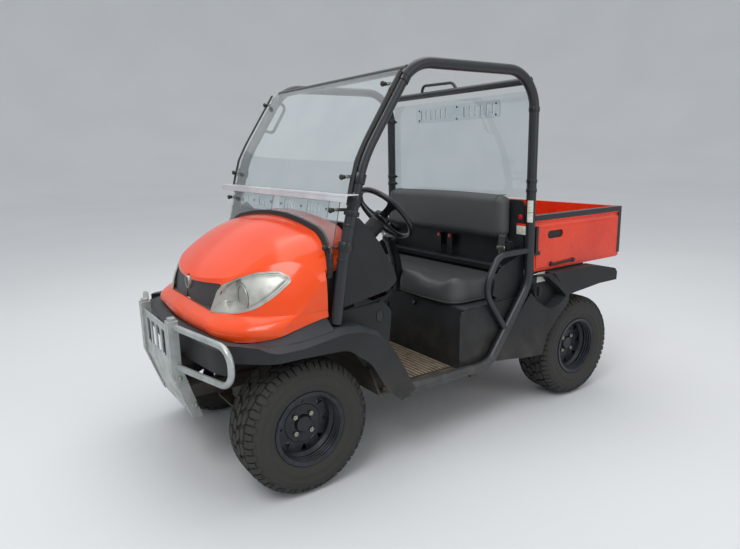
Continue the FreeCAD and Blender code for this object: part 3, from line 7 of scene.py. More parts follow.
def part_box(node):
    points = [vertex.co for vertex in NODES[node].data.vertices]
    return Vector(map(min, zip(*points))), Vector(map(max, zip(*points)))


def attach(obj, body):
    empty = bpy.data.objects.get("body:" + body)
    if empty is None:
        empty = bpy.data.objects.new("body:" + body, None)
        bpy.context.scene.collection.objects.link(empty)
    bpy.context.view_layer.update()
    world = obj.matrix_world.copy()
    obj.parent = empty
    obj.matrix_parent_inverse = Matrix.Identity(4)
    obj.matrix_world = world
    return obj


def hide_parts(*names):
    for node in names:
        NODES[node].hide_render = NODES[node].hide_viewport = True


bl_info = {
    "name": "Side by side utility vehicle",
    "version": (1, 0, 0),
    "blender": (4, 5, 0),
    "location": "View3D > Sidebar > Vehicle",
    "description": "Finishes, treads, lamps, seats and fittings of a two-seat utility vehicle",
    "category": "Object",
}

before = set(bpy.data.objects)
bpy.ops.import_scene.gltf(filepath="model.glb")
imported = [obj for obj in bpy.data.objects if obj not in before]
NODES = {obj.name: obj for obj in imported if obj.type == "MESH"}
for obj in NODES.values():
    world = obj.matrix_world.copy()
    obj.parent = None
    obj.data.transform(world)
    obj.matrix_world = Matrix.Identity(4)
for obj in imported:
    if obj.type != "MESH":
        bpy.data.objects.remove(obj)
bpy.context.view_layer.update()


# Colour and node helpers

def linear(hex_code):
    """sRGB hex to the linear colour that the shader wants."""
    channels = [int(hex_code[i:i + 2], 16) / 255 for i in (1, 3, 5)]
    return tuple(c / 12.92 if c <= 0.04045 else ((c + 0.055) / 1.055) ** 2.4 for c in channels) + (1.0,)


def add_node(tree, kind, inputs=None, **settings):
    """Adds a node, sets it up, and fills or links its inputs."""
    node = tree.nodes.new(kind)
    for key, value in settings.items():
        setattr(node, key, value)
    for key, value in (inputs or {}).items():
        if isinstance(value, bpy.types.NodeSocket):
            tree.links.new(value, node.inputs[key])
        else:
            node.inputs[key].default_value = value
    return node


class Finish:
    """One material under way: its tree, its shader and the object's own coordinates."""

    def __init__(self, name, **values):
        self.material = bpy.data.materials.new(name)
        self.material.use_nodes = True
        self.tree = self.material.node_tree
        self.shader = self.tree.nodes["Principled BSDF"]
        for key, value in values.items():
            self.shader.inputs[key.replace("_", " ")].default_value = value
        self.place = add_node(self.tree, "ShaderNodeTexCoord").outputs["Object"]

    def noise(self, feature_mm, detail, stretch=(1, 1, 1)):
        """Noise whose blotches are about feature_mm across."""
        place = add_node(self.tree, "ShaderNodeMapping", {"Vector": self.place, "Scale": stretch})
        return add_node(self.tree, "ShaderNodeTexNoise", {
            "Vector": place.outputs["Vector"], "Scale": 1000.0 / feature_mm, "Detail": detail,
            "Roughness": 0.55}).outputs["Fac"]

    def cells(self, feature_mm, randomness=1.0):
        """Cell pattern of about feature_mm, as on moulded grain or hide."""
        return add_node(self.tree, "ShaderNodeTexVoronoi", {
            "Vector": self.place, "Scale": 1000.0 / feature_mm, "Randomness": randomness}).outputs["Distance"]

    def ramp(self, value, low, high):
        """Smooth 0 to 1 as value goes from low to high."""
        node = add_node(self.tree, "ShaderNodeMapRange", {"Value": value, "From Min": low, "From Max": high},
                        interpolation_type="SMOOTHSTEP")
        return node.outputs["Result"]

    def math(self, operation, a, b=0.0):
        return add_node(self.tree, "ShaderNodeMath", {0: a, 1: b}, operation=operation).outputs["Value"]

    def height(self):
        return add_node(self.tree, "ShaderNodeSeparateXYZ", {"Vector": self.place}).outputs["Z"]

    def facing_up(self):
        normal = add_node(self.tree, "ShaderNodeNewGeometry").outputs["Normal"]
        return add_node(self.tree, "ShaderNodeSeparateXYZ", {"Vector": normal}).outputs["Z"]

    def mix(self, factor, first, second):
        node = add_node(self.tree, "ShaderNodeMix", data_type="RGBA")
        for socket, value in ((node.inputs[0], factor), (node.inputs[6], first), (node.inputs[7], second)):
            if isinstance(value, bpy.types.NodeSocket):
                self.tree.links.new(value, socket)
            else:
                socket.default_value = value
        return node.outputs[2]

    def set(self, name, value):
        self.tree.links.new(value, self.shader.inputs[name])

    def mottle(self, feature_mm, detail, levels, first, second):
        """Sets a colour that drifts between two hex colours, in blotches of about feature_mm."""
        mask = self.ramp(self.noise(feature_mm, detail), *levels)
        self.set("Base Color", self.mix(mask, linear(first), linear(second)))

    def roughen(self, mask, gain, least):
        """Sets a roughness that grows with the mask."""
        self.set("Roughness", self.math("ADD", self.math("MULTIPLY", mask, gain), least))

    def bump(self, height, depth_mm):
        bump = add_node(self.tree, "ShaderNodeBump", {
            "Height": height, "Distance": depth_mm / 1000.0, "Strength": 1.0})
        self.tree.links.new(bump.outputs["Normal"], self.shader.inputs["Normal"])

    def dust(self, top_m, bottom_m, amount):
        """Mask of dry soil that thickens from top_m down to bottom_m, broken up in patches."""
        low = self.ramp(self.height(), top_m, bottom_m)
        patches = self.ramp(self.noise(90, 6), 0.35, 0.75)
        fine = self.ramp(self.noise(6, 5), 0.3, 0.8)
        grime = self.math("MULTIPLY", self.math("MULTIPLY", low, amount), self.math("ADD", patches, 0.35))
        return self.math("MULTIPLY", grime, self.math("ADD", self.math("MULTIPLY", fine, 0.7), 0.4))


# Finishes

def moulded_orange_gloss():
    """Glossy moulded body plastic: deep clear gloss, faint orange peel, dust towards the hem."""
    look = scene_colours()
    f = Finish("moulded_orange_gloss", Roughness=0.26, Coat_Weight=0.2, Coat_Roughness=0.08, IOR=1.4)
    shade = f.ramp(f.noise(420, 2), 0.35, 0.7)
    base = f.mix(shade, tuple(look.hood), linear("#F24E14"))
    dust = f.dust(1.0, 0.66, 0.2)
    f.set("Base Color", f.mix(dust, base, linear("#C98A62")))
    f.roughen(dust, 0.6, 0.17)
    f.bump(f.noise(5, 2), 0.04)
    return f.material


def painted_steel_orange():
    """Baked enamel on pressed sheet steel: a little darker and flatter than the hood."""
    look = scene_colours()
    f = Finish("painted_steel_orange", Roughness=0.3, Coat_Weight=0.35, Coat_Roughness=0.15, IOR=1.5)
    base = f.mix(f.ramp(f.noise(300, 3), 0.35, 0.7), tuple(look.bed), linear("#E63C12"))
    up = f.ramp(f.facing_up(), 0.6, 0.95)
    patches = f.ramp(f.noise(60, 6), 0.35, 0.75)
    dust = f.math("MULTIPLY", patches, f.math("ADD", f.math("MULTIPLY", up, 0.3), 0.03))
    f.set("Base Color", f.mix(dust, base, linear("#A9836A")))
    f.roughen(dust, 0.7, 0.27)
    f.bump(f.noise(2.5, 2), 0.05)
    return f.material


def black_plastic(name, colours, roughness, grain_mm, depth_mm, dust_amount):
    """Mould-grained polypropylene: fine pebble grain, a painted blue-grey sky sheen on upward faces with some
    dust, and soil near the ground.
    """
    f = Finish(name, Roughness=roughness, Specular_IOR_Level=0.4, IOR=1.49)
    tone = f.ramp(f.noise(240, 4), 0.3, 0.75)
    base = f.mix(tone, *[linear(c) for c in colours])
    scuff = f.ramp(f.noise(14, 5, (1, 1, 6)), 0.66, 0.8)
    base = f.mix(f.math("MULTIPLY", scuff, 0.16), base, linear("#55565A"))
    # Painted highlight: upward faces turn a lighter blue-grey, a painted reflection of the sky that is partly
    # dust
    painted_sheen_and_dust = f.math("MULTIPLY", f.ramp(f.facing_up(), 0.3, 0.95), 0.22)
    base = f.mix(painted_sheen_and_dust, base, linear("#596066"))
    dust = f.dust(0.72, 0.25, dust_amount)
    f.set("Base Color", f.mix(dust, base, linear("#6B6257")))
    f.set("Roughness", f.math("ADD", f.math("MULTIPLY", tone, 0.08), roughness))
    f.bump(f.cells(grain_mm), depth_mm)
    return f.material


def fender_polypropylene():
    """Outer fenders and side panels."""
    return black_plastic("fender_polypropylene", ("#17181A", "#242629"), 0.5, 2.2, 0.12, 0.3)


def cab_polypropylene():
    """Mouldings inside the cab, darker and smoother."""
    return black_plastic("cab_polypropylene", ("#101113", "#1A1B1D"), 0.45, 1.6, 0.08, 0.12)


def grille_plastic():
    """Dark grey lamp-panel moulding between the headlights."""
    return black_plastic("grille_plastic", ("#2A2728", "#383435"), 0.4, 1.8, 0.06, 0.1)


def powder_coated_tube():
    """Satin powder coat on bent tube: blue-black, faintly pebbled, paler where it is rubbed."""
    f = Finish("powder_coated_tube", Roughness=0.38, IOR=1.5, Coat_Weight=0.15, Coat_Roughness=0.3)
    rubbed = f.math("MULTIPLY", f.ramp(f.noise(70, 6), 0.6, 0.85), 0.5)
    base = f.mix(rubbed, linear("#1D2025"), linear("#3C4047"))
    dust = f.dust(0.55, 0.3, 0.5)
    f.set("Base Color", f.mix(dust, base, linear("#6D6860")))
    f.bump(f.noise(3, 3), 0.08)
    return f.material


def chassis_enamel():
    """Black frame enamel under a coat of dried soil."""
    f = Finish("chassis_enamel", Roughness=0.55, IOR=1.5)
    dust = f.dust(0.75, 0.2, 0.9)
    f.set("Base Color", f.mix(dust, linear("#1B1C1D"), linear("#6F6352")))
    f.roughen(dust, 0.35, 0.5)
    f.bump(f.noise(8, 5), 0.4)
    return f.material


def silver_powder_coat():
    """Silver-grey powder coat on the guard: metal flake, mottled, chipped and dirty at the foot."""
    look = scene_colours()
    f = Finish("silver_powder_coat", Roughness=0.34, Metallic=0.5)
    mottle = f.ramp(f.noise(60, 4), 0.3, 0.75)
    base = f.mix(mottle, tuple(look.guard), linear("#9A9F9D"))
    dust = f.dust(0.7, 0.28, 0.35)
    f.set("Base Color", f.mix(dust, base, linear("#6E6B60")))
    f.roughen(mottle, 0.14, 0.3)
    f.bump(f.noise(2.5, 3), 0.08)
    return f.material


def tyre_rubber():
    """Vulcanised rubber, browned by dry soil on the tread and brushed cleaner on the walls; the groove floors
    stay darkest, a painted shade between the blocks.
    """
    f = Finish("tyre_rubber", Roughness=0.75, Specular_IOR_Level=0.35)
    worn = f.ramp(f.noise(45, 6), 0.3, 0.75)
    base = f.mix(worn, linear("#0B0B0B"), linear("#151514"))
    # The tread attribute is 1 on the blocks, less on the walls and 0 on the groove floors, which stay dark as
    # painted shade
    on_block = add_node(f.tree, "ShaderNodeAttribute", attribute_name="tread").outputs["Fac"]
    base = f.mix(f.math("MULTIPLY", on_block, 0.9), base, linear("#504E49"))
    soil = f.math("MULTIPLY", f.ramp(f.noise(12, 6), 0.42, 0.72), 0.22)
    f.set("Base Color", f.mix(soil, base, linear("#4E483E")))
    f.bump(f.noise(4, 5), 0.25)
    return f.material


def wheel_enamel():
    """Blue-black enamel on pressed steel wheels, with dust in the dish."""
    f = Finish("wheel_enamel", Roughness=0.34, Metallic=0.25)
    base = f.mix(f.ramp(f.noise(55, 4), 0.3, 0.75), linear("#191C21"), linear("#2A2F37"))
    dust = f.math("MULTIPLY", f.ramp(f.noise(18, 6), 0.5, 0.8), 0.35)
    f.set("Base Color", f.mix(dust, base, linear("#57534B")))
    f.roughen(dust, 0.7, 0.3)
    f.bump(f.noise(3, 3), 0.06)
    return f.material


def zinc_plate():
    """Bright zinc on nuts, screws and latches: pale, slightly yellow metal."""
    f = Finish("zinc_plate", Roughness=0.35, Metallic=1.0)
    f.mottle(9, 4, (0.35, 0.7), "#B9BAAB", "#8B8C80")
    f.bump(f.noise(2, 2), 0.03)
    return f.material


def cast_iron():
    """As-cast iron of axle and engine: coarse skin under oil and soil."""
    f = Finish("cast_iron", Roughness=0.7, Metallic=0.3)
    soil = f.ramp(f.noise(40, 6), 0.45, 0.75)
    f.set("Base Color", f.mix(f.math("MULTIPLY", soil, 0.6), linear("#3B3A38"), linear("#6B6050")))
    f.bump(f.noise(3.5, 5), 0.35)
    return f.material


def seat_vinyl():
    """Embossed upholstery vinyl: leather-like grain with a soft satin sheen."""
    look = scene_colours()
    f = Finish("seat_vinyl", Roughness=0.36, IOR=1.5, Specular_IOR_Level=0.5)
    tone = f.ramp(f.noise(140, 3), 0.3, 0.75)
    f.set("Base Color", f.mix(tone, tuple(look.seat), linear("#25272A")))
    f.roughen(tone, 0.08, 0.32)
    f.bump(f.cells(2.4), 0.06)
    return f.material


def ribbed_mat_rubber():
    """Black ribbed rubber mat, tan with trodden soil, lighter on the rib crests and darker between the ribs.
    """
    f = Finish("ribbed_mat_rubber", Roughness=0.85)
    soil = f.ramp(f.noise(40, 7), 0.25, 0.6)
    crest = f.ramp(f.height(), 0.3505, 0.3535)
    groove = f.mix(soil, linear("#2A2621"), linear("#4B4238"))
    f.set("Base Color", f.mix(crest, groove, f.mix(soil, linear("#5F564A"), linear("#8B7B66"))))
    f.bump(f.noise(5, 5), 0.3)
    return f.material


def edge_rubber():
    """Soft extruded sealing rubber, brown-black and matt."""
    f = Finish("edge_rubber", Roughness=0.62)
    f.mottle(30, 4, (0.3, 0.75), "#141313", "#232120")
    f.bump(f.noise(2.5, 3), 0.08)
    return f.material


def moulded_black_nylon():
    """Clamps, knobs and grips: smooth satin nylon."""
    f = Finish("moulded_black_nylon", Roughness=0.33, IOR=1.53)
    f.mottle(20, 3, (0.3, 0.75), "#121315", "#1F2022")
    f.bump(f.noise(1.8, 2), 0.03)
    return f.material


def clear_polycarbonate():
    """Extruded polycarbonate sheet: clear, a little bluish, wiped and faintly hazy."""
    f = Finish("clear_polycarbonate", Roughness=0.02, IOR=1.58, Transmission_Weight=0.94)
    f.mottle(300, 4, (0.3, 0.8), "#F4FAFB", "#E8F1F3")
    wiped = f.ramp(f.noise(120, 6, (3, 1, 1)), 0.5, 0.85)
    f.roughen(wiped, 0.05, 0.015)
    return f.material


def milky_polycarbonate():
    """Scuffed edge-lit polycarbonate of the ledge between the two sheets: white, half see-through."""
    f = Finish("milky_polycarbonate", Roughness=0.3, IOR=1.5, Transmission_Weight=0.35)
    f.mottle(180, 4, (0.3, 0.75), "#F2F6F8", "#D6DDE2")
    f.bump(f.noise(9, 3), 0.03)
    return f.material


def metallised_lamp_body():
    """Satin aluminised plastic of the lamp bowls and the badge's rim."""
    f = Finish("metallised_lamp_body", Roughness=0.36, Metallic=0.45, Coat_Weight=0.4, Coat_Roughness=0.05)
    f.mottle(60, 2, (0.3, 0.7), "#BDBDB6", "#A8A9A2")
    f.bump(f.noise(4, 2), 0.03)
    return f.material


def reflector_chrome():
    """Vacuum-metallised facets of the reflector: near-mirror aluminium."""
    f = Finish("reflector_chrome", Roughness=0.12, Metallic=1.0)
    f.mottle(20, 2, (0.3, 0.7), "#E3E4E2", "#C9CBCA")
    f.bump(f.noise(3, 2), 0.02)
    return f.material


def amber_lens():
    """Moulded acrylic marker: milky amber-white with prisms of about 3 mm."""
    f = Finish("amber_lens", Roughness=0.25, Coat_Weight=0.8, Coat_Roughness=0.05)
    f.mottle(15, 2, (0.3, 0.7), "#D9C9B4", "#C7A98A")
    f.bump(f.cells(3.0, 0.1), 0.3)
    return f.material


def polyester_webbing():
    """Woven belt webbing: ribs of about 1.5 mm across the strap."""
    f = Finish("polyester_webbing", Roughness=0.7, Sheen_Weight=0.3)
    weave = add_node(f.tree, "ShaderNodeTexWave", {"Vector": f.place, "Scale": 105.0, "Distortion": 1.0},
                     wave_type="BANDS", bands_direction="Z").outputs["Fac"]
    f.set("Base Color", f.mix(weave, linear("#141416"), linear("#2B2B2E")))
    f.bump(weave, 0.3)
    return f.material


def signal_red_abs():
    """Glossy red plastic of buckle buttons, reflectors and the gear mark."""
    f = Finish("signal_red_abs", Roughness=0.22, Coat_Weight=0.5, Coat_Roughness=0.05)
    f.mottle(6, 2, (0.3, 0.7), "#D8202A", "#B81822")
    f.bump(f.cells(2.0), 0.05)
    return f.material


def blank_label_vinyl():
    """Bare pale sticker, slightly yellowed."""
    f = Finish("blank_label_vinyl", Roughness=0.45)
    f.mottle(12, 3, (0.3, 0.7), "#D9D8CE", "#C4C2B4")
    f.bump(f.noise(3, 2), 0.03)
    return f.material


FINISHES = {maker.__name__: maker for maker in (
    moulded_orange_gloss, painted_steel_orange, fender_polypropylene, cab_polypropylene, grille_plastic,
    powder_coated_tube, chassis_enamel, silver_powder_coat, tyre_rubber, wheel_enamel, zinc_plate,
    cast_iron, seat_vinyl, ribbed_mat_rubber, edge_rubber, moulded_black_nylon, clear_polycarbonate,
    milky_polycarbonate, metallised_lamp_body, reflector_chrome, amber_lens, polyester_webbing,
    signal_red_abs, blank_label_vinyl)}
NODE_FINISHES = {
    "moulded_orange_gloss": ["hood"],
    "painted_steel_orange": ["bed_sides", "bed_floor", "bed_headboard", "tailgate"],
    "fender_polypropylene": ["front_bumper", "front_fenders", "cowl_panels", "quarter_panels", "rear_fenders",
                             "fuel_cap", "headboard", "seat_base", "side_shields"],
    "cab_polypropylene": ["dashboard", "steering_column", "seat_belts"],
    "grille_plastic": ["grille"],
    "powder_coated_tube": ["side_hoop_left", "side_hoop_right", "hip_guards", "cage_crossbars", "bed_rails"],
    "chassis_enamel": ["chassis_frame", "front_subframe", "lower_arms", "leaf_springs", "bed_mounts",
                       "floor_pan", "bed_latches"],
    "silver_powder_coat": ["brush_guard"],
    "tyre_rubber": ["tyre_front_left", "tyre_front_right", "tyre_rear_left", "tyre_rear_right"],
    "wheel_enamel": ["rim_front_left", "rim_front_right", "rim_rear_left", "rim_rear_right"],
    "cast_iron": ["front_differential", "knuckle_left", "knuckle_right", "steering_rack", "tie_rods",
                  "rear_axle", "engine_block"],
    "seat_vinyl": ["seat_cushion", "seat_backrest"],
    "ribbed_mat_rubber": ["floor_mat"],
    "edge_rubber": ["windshield_seal", "windshield_edging"],
    "moulded_black_nylon": ["steering_wheel"],
    "clear_polycarbonate": ["windshield_lower", "windshield_upper", "rear_window", "headlight_lenses"],
    "milky_polycarbonate": ["windshield_ledge"],
    "metallised_lamp_body": ["headlights", "grille_badge"],
}


def finish_named(name):
    """The finish, made the first time that it is asked for."""
    return bpy.data.materials.get(name) or FINISHES[name]()


# Settings that a user would change

class VehicleColours(bpy.types.PropertyGroup):
    hood: bpy.props.FloatVectorProperty(
        name="Hood", description="Moulded nose and hood", subtype="COLOR", size=4, min=0, max=1,
        default=linear("#EE430D"))
    bed: bpy.props.FloatVectorProperty(
        name="Bed", description="Painted steel cargo bed", subtype="COLOR", size=4, min=0, max=1,
        default=linear("#D92F0C"))
    guard: bpy.props.FloatVectorProperty(
        name="Guard", description="Powder-coated brush guard", subtype="COLOR", size=4, min=0, max=1,
        default=linear("#B2B6B4"))
    seat: bpy.props.FloatVectorProperty(
        name="Seat", description="Vinyl of the bench and backrest", subtype="COLOR", size=4, min=0, max=1,
        default=linear("#1B1D1F"))


class VehicleSizes(bpy.types.PropertyGroup):
    lens: bpy.props.FloatProperty(
        name="Lens", description="Focal length on a 36 mm sensor", default=28.44, min=10, max=200)
    floor: bpy.props.FloatProperty(
        name="Floor", description="Half width of the studio floor", default=30.0, min=5, subtype="DISTANCE",
        unit="LENGTH")


def scene_colours():
    return bpy.context.scene.vehicle_colours


def scene_sizes():
    return bpy.context.scene.vehicle_sizes


# Modelling helpers; sizes are in millimetres

CORNER_STEPS = 6


def point(x, y, z):
    """Point in the row frame, from millimetres."""
    return Vector((x, y, z)) / 1000.0


def deselect():
    bpy.ops.object.select_all(action="DESELECT")


def activate(obj):
    deselect()
    obj.select_set(True)
    bpy.context.view_layer.objects.active = obj


def settle(obj):
    """Leaves the object at the origin, unturned and unscaled."""
    activate(obj)
    bpy.ops.object.transform_apply(location=True, rotation=True, scale=True)
    return obj


def modify(obj, kind, **settings):
    """Adds one modifier and applies it."""
    activate(obj)
    modifier = obj.modifiers.new(kind, kind)
    for key, value in settings.items():
        setattr(modifier, key, value)
    bpy.ops.object.modifier_apply(modifier=modifier.name)
    return obj


def edit(obj, *steps):
    """Runs edit-mode steps on the whole mesh."""
    activate(obj)
    bpy.ops.object.mode_set(mode="EDIT")
    bpy.ops.mesh.select_all(action="SELECT")
    for step in steps:
        step()
    bpy.ops.object.mode_set(mode="OBJECT")
    return obj


def slab(low, high, edge=0.0):
    """Box between two corners, its edges rounded by edge."""
    deselect()
    bpy.ops.mesh.primitive_cube_add(size=1, location=(point(*low) + point(*high)) / 2)
    obj = bpy.context.object
    obj.scale = point(*high) - point(*low)
    settle(obj)
    if edge:
        modify(obj, "BEVEL", width=edge / 1000, segments=2, limit_method="NONE")
    return obj


def bar(start, end, radius, sides=24, edge=0.0):
    """Round bar between two points, its rims rounded by edge."""
    deselect()
    start, end = point(*start), point(*end)
    bpy.ops.mesh.primitive_cylinder_add(
        vertices=sides, radius=radius / 1000, depth=(end - start).length, location=(start + end) / 2,
        rotation=(end - start).to_track_quat("Z", "Y").to_euler())
    obj = settle(bpy.context.object)
    if edge:
        modify(obj, "BEVEL", width=edge / 1000, segments=2, limit_method="ANGLE")
    return obj


def ball(centre, radius, scale=(1, 1, 1)):
    deselect()
    bpy.ops.mesh.primitive_uv_sphere_add(
        segments=24, ring_count=14, radius=radius / 1000, location=point(*centre))
    obj = bpy.context.object
    obj.scale = scale
    return settle(obj)


def wire(rows, radius, closed=False):
    """Round rod swept along a path; rows are points in millimetres."""
    curve = bpy.data.curves.new("path", "CURVE")
    curve.dimensions = "3D"
    curve.bevel_depth = radius / 1000
    curve.bevel_resolution = 3
    curve.use_fill_caps = not closed
    spline = curve.splines.new("POLY")
    spline.points.add(len(rows) - 1)
    for target, row in zip(spline.points, rows):
        target.co = (*point(*row), 1)
    spline.use_cyclic_u = closed
    obj = bpy.data.objects.new("path", curve)
    bpy.context.scene.collection.objects.link(obj)
    activate(obj)
    bpy.ops.object.convert(target="MESH")
    return bpy.context.object


def rounded_path(rows, reaches):
    """Path through the rows. Each inner corner is rounded over its reach, or all over one."""
    points = [Vector(row) for row in rows]
    if isinstance(reaches, (int, float)):
        reaches = [reaches] * (len(points) - 2)
    path = [points[0]]
    for before, here, after, reach in zip(points, points[1:], points[2:], reaches):
        reach = min(reach, (here - before).length / 2, (after - here).length / 2)
        a = here + (before - here).normalized() * reach
        b = here + (after - here).normalized() * reach
        for i in range(CORNER_STEPS + 1):
            t = i / CORNER_STEPS
            path.append(a * (1 - t) ** 2 + here * 2 * t * (1 - t) + b * t * t)
    return [tuple(p) for p in path + [points[-1]]]


def rounded_loop(rows, reaches):
    """Closed path through the corners, all of them rounded; it starts halfway along its last side."""
    start = tuple((Vector(rows[-1]) + Vector(rows[0])) / 2)
    return rounded_path([start, *rows, start], reaches)[:-1]


def skin(node, start, heading):
    """Where a ray meets a solid of the vehicle, in millimetres, and the way that its surface faces."""
    hit, place, normal, _ = NODES[node].ray_cast(point(*start), Vector(heading))
    if not hit:
        raise ValueError(f"nothing of {node} lies in the way from {start}")
    return place * 1000, normal


def head_on(node, start, heading, radius, height):
    """Screw head that sits on the surface which a ray meets."""
    place, normal = skin(node, start, heading)
    return bar(place - normal * 1.5, place + normal * height, radius, 20, height * 0.45)


def faces(vertices, polygons):
    """Mesh from points in millimetres, for forms that no primitive gives."""
    mesh = bpy.data.meshes.new("form")
    mesh.from_pydata([point(*v) for v in vertices], [], polygons)
    obj = bpy.data.objects.new("form", mesh)
    bpy.context.scene.collection.objects.link(obj)
    return edit(obj, lambda: bpy.ops.mesh.remove_doubles(threshold=0.00002),
                lambda: bpy.ops.mesh.normals_make_consistent(inside=False))


def loft(rings, open_start=False):
    """Skin over rings of equally many points. Both ends are closed, or only the last one."""
    count = len(rings[0])
    vertices = [spot for ring in rings for spot in ring]
    last = len(vertices) - count
    polygons = [tuple(range(last, last + count))]
    if not open_start:
        polygons.append(tuple(range(count)))
    for first in range(0, last, count):
        for i in range(count):
            j = (i + 1) % count
            polygons.append((first + i, first + j, first + count + j, first + count + i))
    return faces(vertices, polygons)


def upright_web(corners, left, right):
    """Plate across x from left to right; its corners are places along the vehicle and heights."""
    return loft([[(x, y, z) for y, z in corners] for x in (left, right)])


def on_line(spot, ends):
    """Nearest point of the line between two ends."""
    start, end = ends
    along = end - start
    return start + along * max(0.0, min(1.0, (spot - start).dot(along) / (along.length_squared or 1.0)))


def flat_loop(corners):
    """Closed flat path through corners that each have two places and a rounding."""
    loop = rounded_loop([(x, y, 0) for x, y, _ in corners], [reach for _, _, reach in corners])
    return [Vector(spot[:2]) for spot in loop]


def evened(loop, count):
    """The closed flat path again, with its points the same way apart."""
    sides = [(here, there, (there - here).length) for here, there in zip(loop, loop[1:] + loop[:1])]
    step = sum(length for _, _, length in sides) / count
    result = []
    left = 0.0
    for here, there, length in sides:
        while left < length and len(result) < count:
            result.append(here + (there - here) * (left / length))
            left += step
        left -= length
    return result


def ringed(loop, ends, insets, place):
    """Skin that runs in from a closed flat path to a line. Each ring has an inset in millimetres and a
    share of the way that is left; place turns a flat spot, its ring and its depth into a point."""
    rings = []
    for k, (inset, share) in enumerate(insets):
        ring = []
        for spot in loop:
            core = on_line(spot, ends)
            reach = (core - spot).length
            depth = min(inset, reach) + max(0.0, reach - inset) * share
            ring.append(place(spot + (core - spot) * (depth / reach), k, depth))
        rings.append(ring)
    return loft(rings, open_start=True)


def eased(value, low, high):
    """Smooth 0 to 1 as value goes from low to high."""
    t = max(0.0, min(1.0, (value - low) / (high - low)))
    return t * t * (3 - 2 * t)


def hump(value, middle, width):
    """Smooth rise to 1 at the middle."""
    return math.exp(-((value - middle) / width) ** 2)


def spun(profile, steps, axis, centre=(0, 0, 0)):
    """Profile of (x, y, z) points turned once about an axis."""
    mesh = bpy.data.meshes.new("profile")
    mesh.from_pydata([point(*row) for row in profile], [(i, i + 1) for i in range(len(profile) - 1)], [])
    obj = bpy.data.objects.new("profile", mesh)
    bpy.context.scene.collection.objects.link(obj)
    return edit(obj, lambda: bpy.ops.mesh.spin(steps=steps, angle=math.tau, center=point(*centre), axis=axis),
                lambda: bpy.ops.mesh.remove_doubles(threshold=0.00002),
                lambda: bpy.ops.mesh.normals_make_consistent(inside=False))


def tube_ring(centre, radius, thick, axis, steps, sides=10):
    """Round tube bent to a ring about the y or z axis."""
    middle, out, along = Vector(centre), Vector((1, 0, 0)), Vector(axis)
    angles = [math.tau * i / sides for i in range(sides + 1)]
    profile = [middle + out * (radius + thick * math.cos(a)) + along * thick * math.sin(a) for a in angles]
    return spun(profile, steps, axis, centre)


def box_mm(node):
    """Two corners of a solid's box, in millimetres."""
    return [corner * 1000 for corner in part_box(node)]


def moved(obj, offset):
    obj.data.transform(Matrix.Translation(point(*offset)))
    return obj


def turned(obj, degrees, axis, centre=(0, 0, 0)):
    origin = Matrix.Translation(point(*centre))
    obj.data.transform(origin @ Matrix.Rotation(math.radians(degrees), 4, axis) @ origin.inverted())
    return obj


def copied(obj):
    """A copy with its own mesh."""
    twin = obj.copy()
    twin.data = obj.data.copy()
    bpy.context.scene.collection.objects.link(twin)
    return twin


def mirrored(obj):
    """Copy on the other side, its faces turned outward again."""
    twin = copied(obj)
    twin.data.transform(Matrix.Scale(-1, 4, (1, 0, 0)))
    twin.data.flip_normals()
    return twin


def pair(*parts):
    """The parts and their copies on the other side."""
    return [*parts, *[mirrored(part) for part in parts]]


def joined(parts):
    activate(parts[0])
    for part in parts[1:]:
        part.select_set(True)
    if len(parts) > 1:
        bpy.ops.object.join()
    return bpy.context.object


def piece(parts, name, finish, body, slot, stands_for=(), smooth=40.0):
    """Joins the parts into one named piece with its finish and body. Its slot is not used."""
    obj = joined(parts)
    obj.name = name
    obj.data.name = name
    activate(obj)
    bpy.ops.object.shade_smooth_by_angle(angle=math.radians(smooth))
    obj.data.materials.clear()
    obj.data.materials.append(finish_named(finish))
    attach(obj, body)
    if stands_for:
        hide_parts(*stands_for)
    return obj


# Operators

# The camera of the photograph: its place in metres, and yaw, pitch and roll
CAMERA_PLACE = (2.695, -1.963, 1.458)
CAMERA_TURN = (0.970275, 0.206139, -0.022264)
# Soft lamps: name, place and size in metres, and power in watts
STUDIO_LAMPS = (
    ("key", (2.5, -3.5, 5.0), 2.5, 115),
    ("overhead", (-1.0, 0.5, 5.5), 5.0, 115),
    ("side", (5.5, 1.5, 2.5), 3.0, 42))
LAMPS_AIM = Vector((0, 0, 0.7))


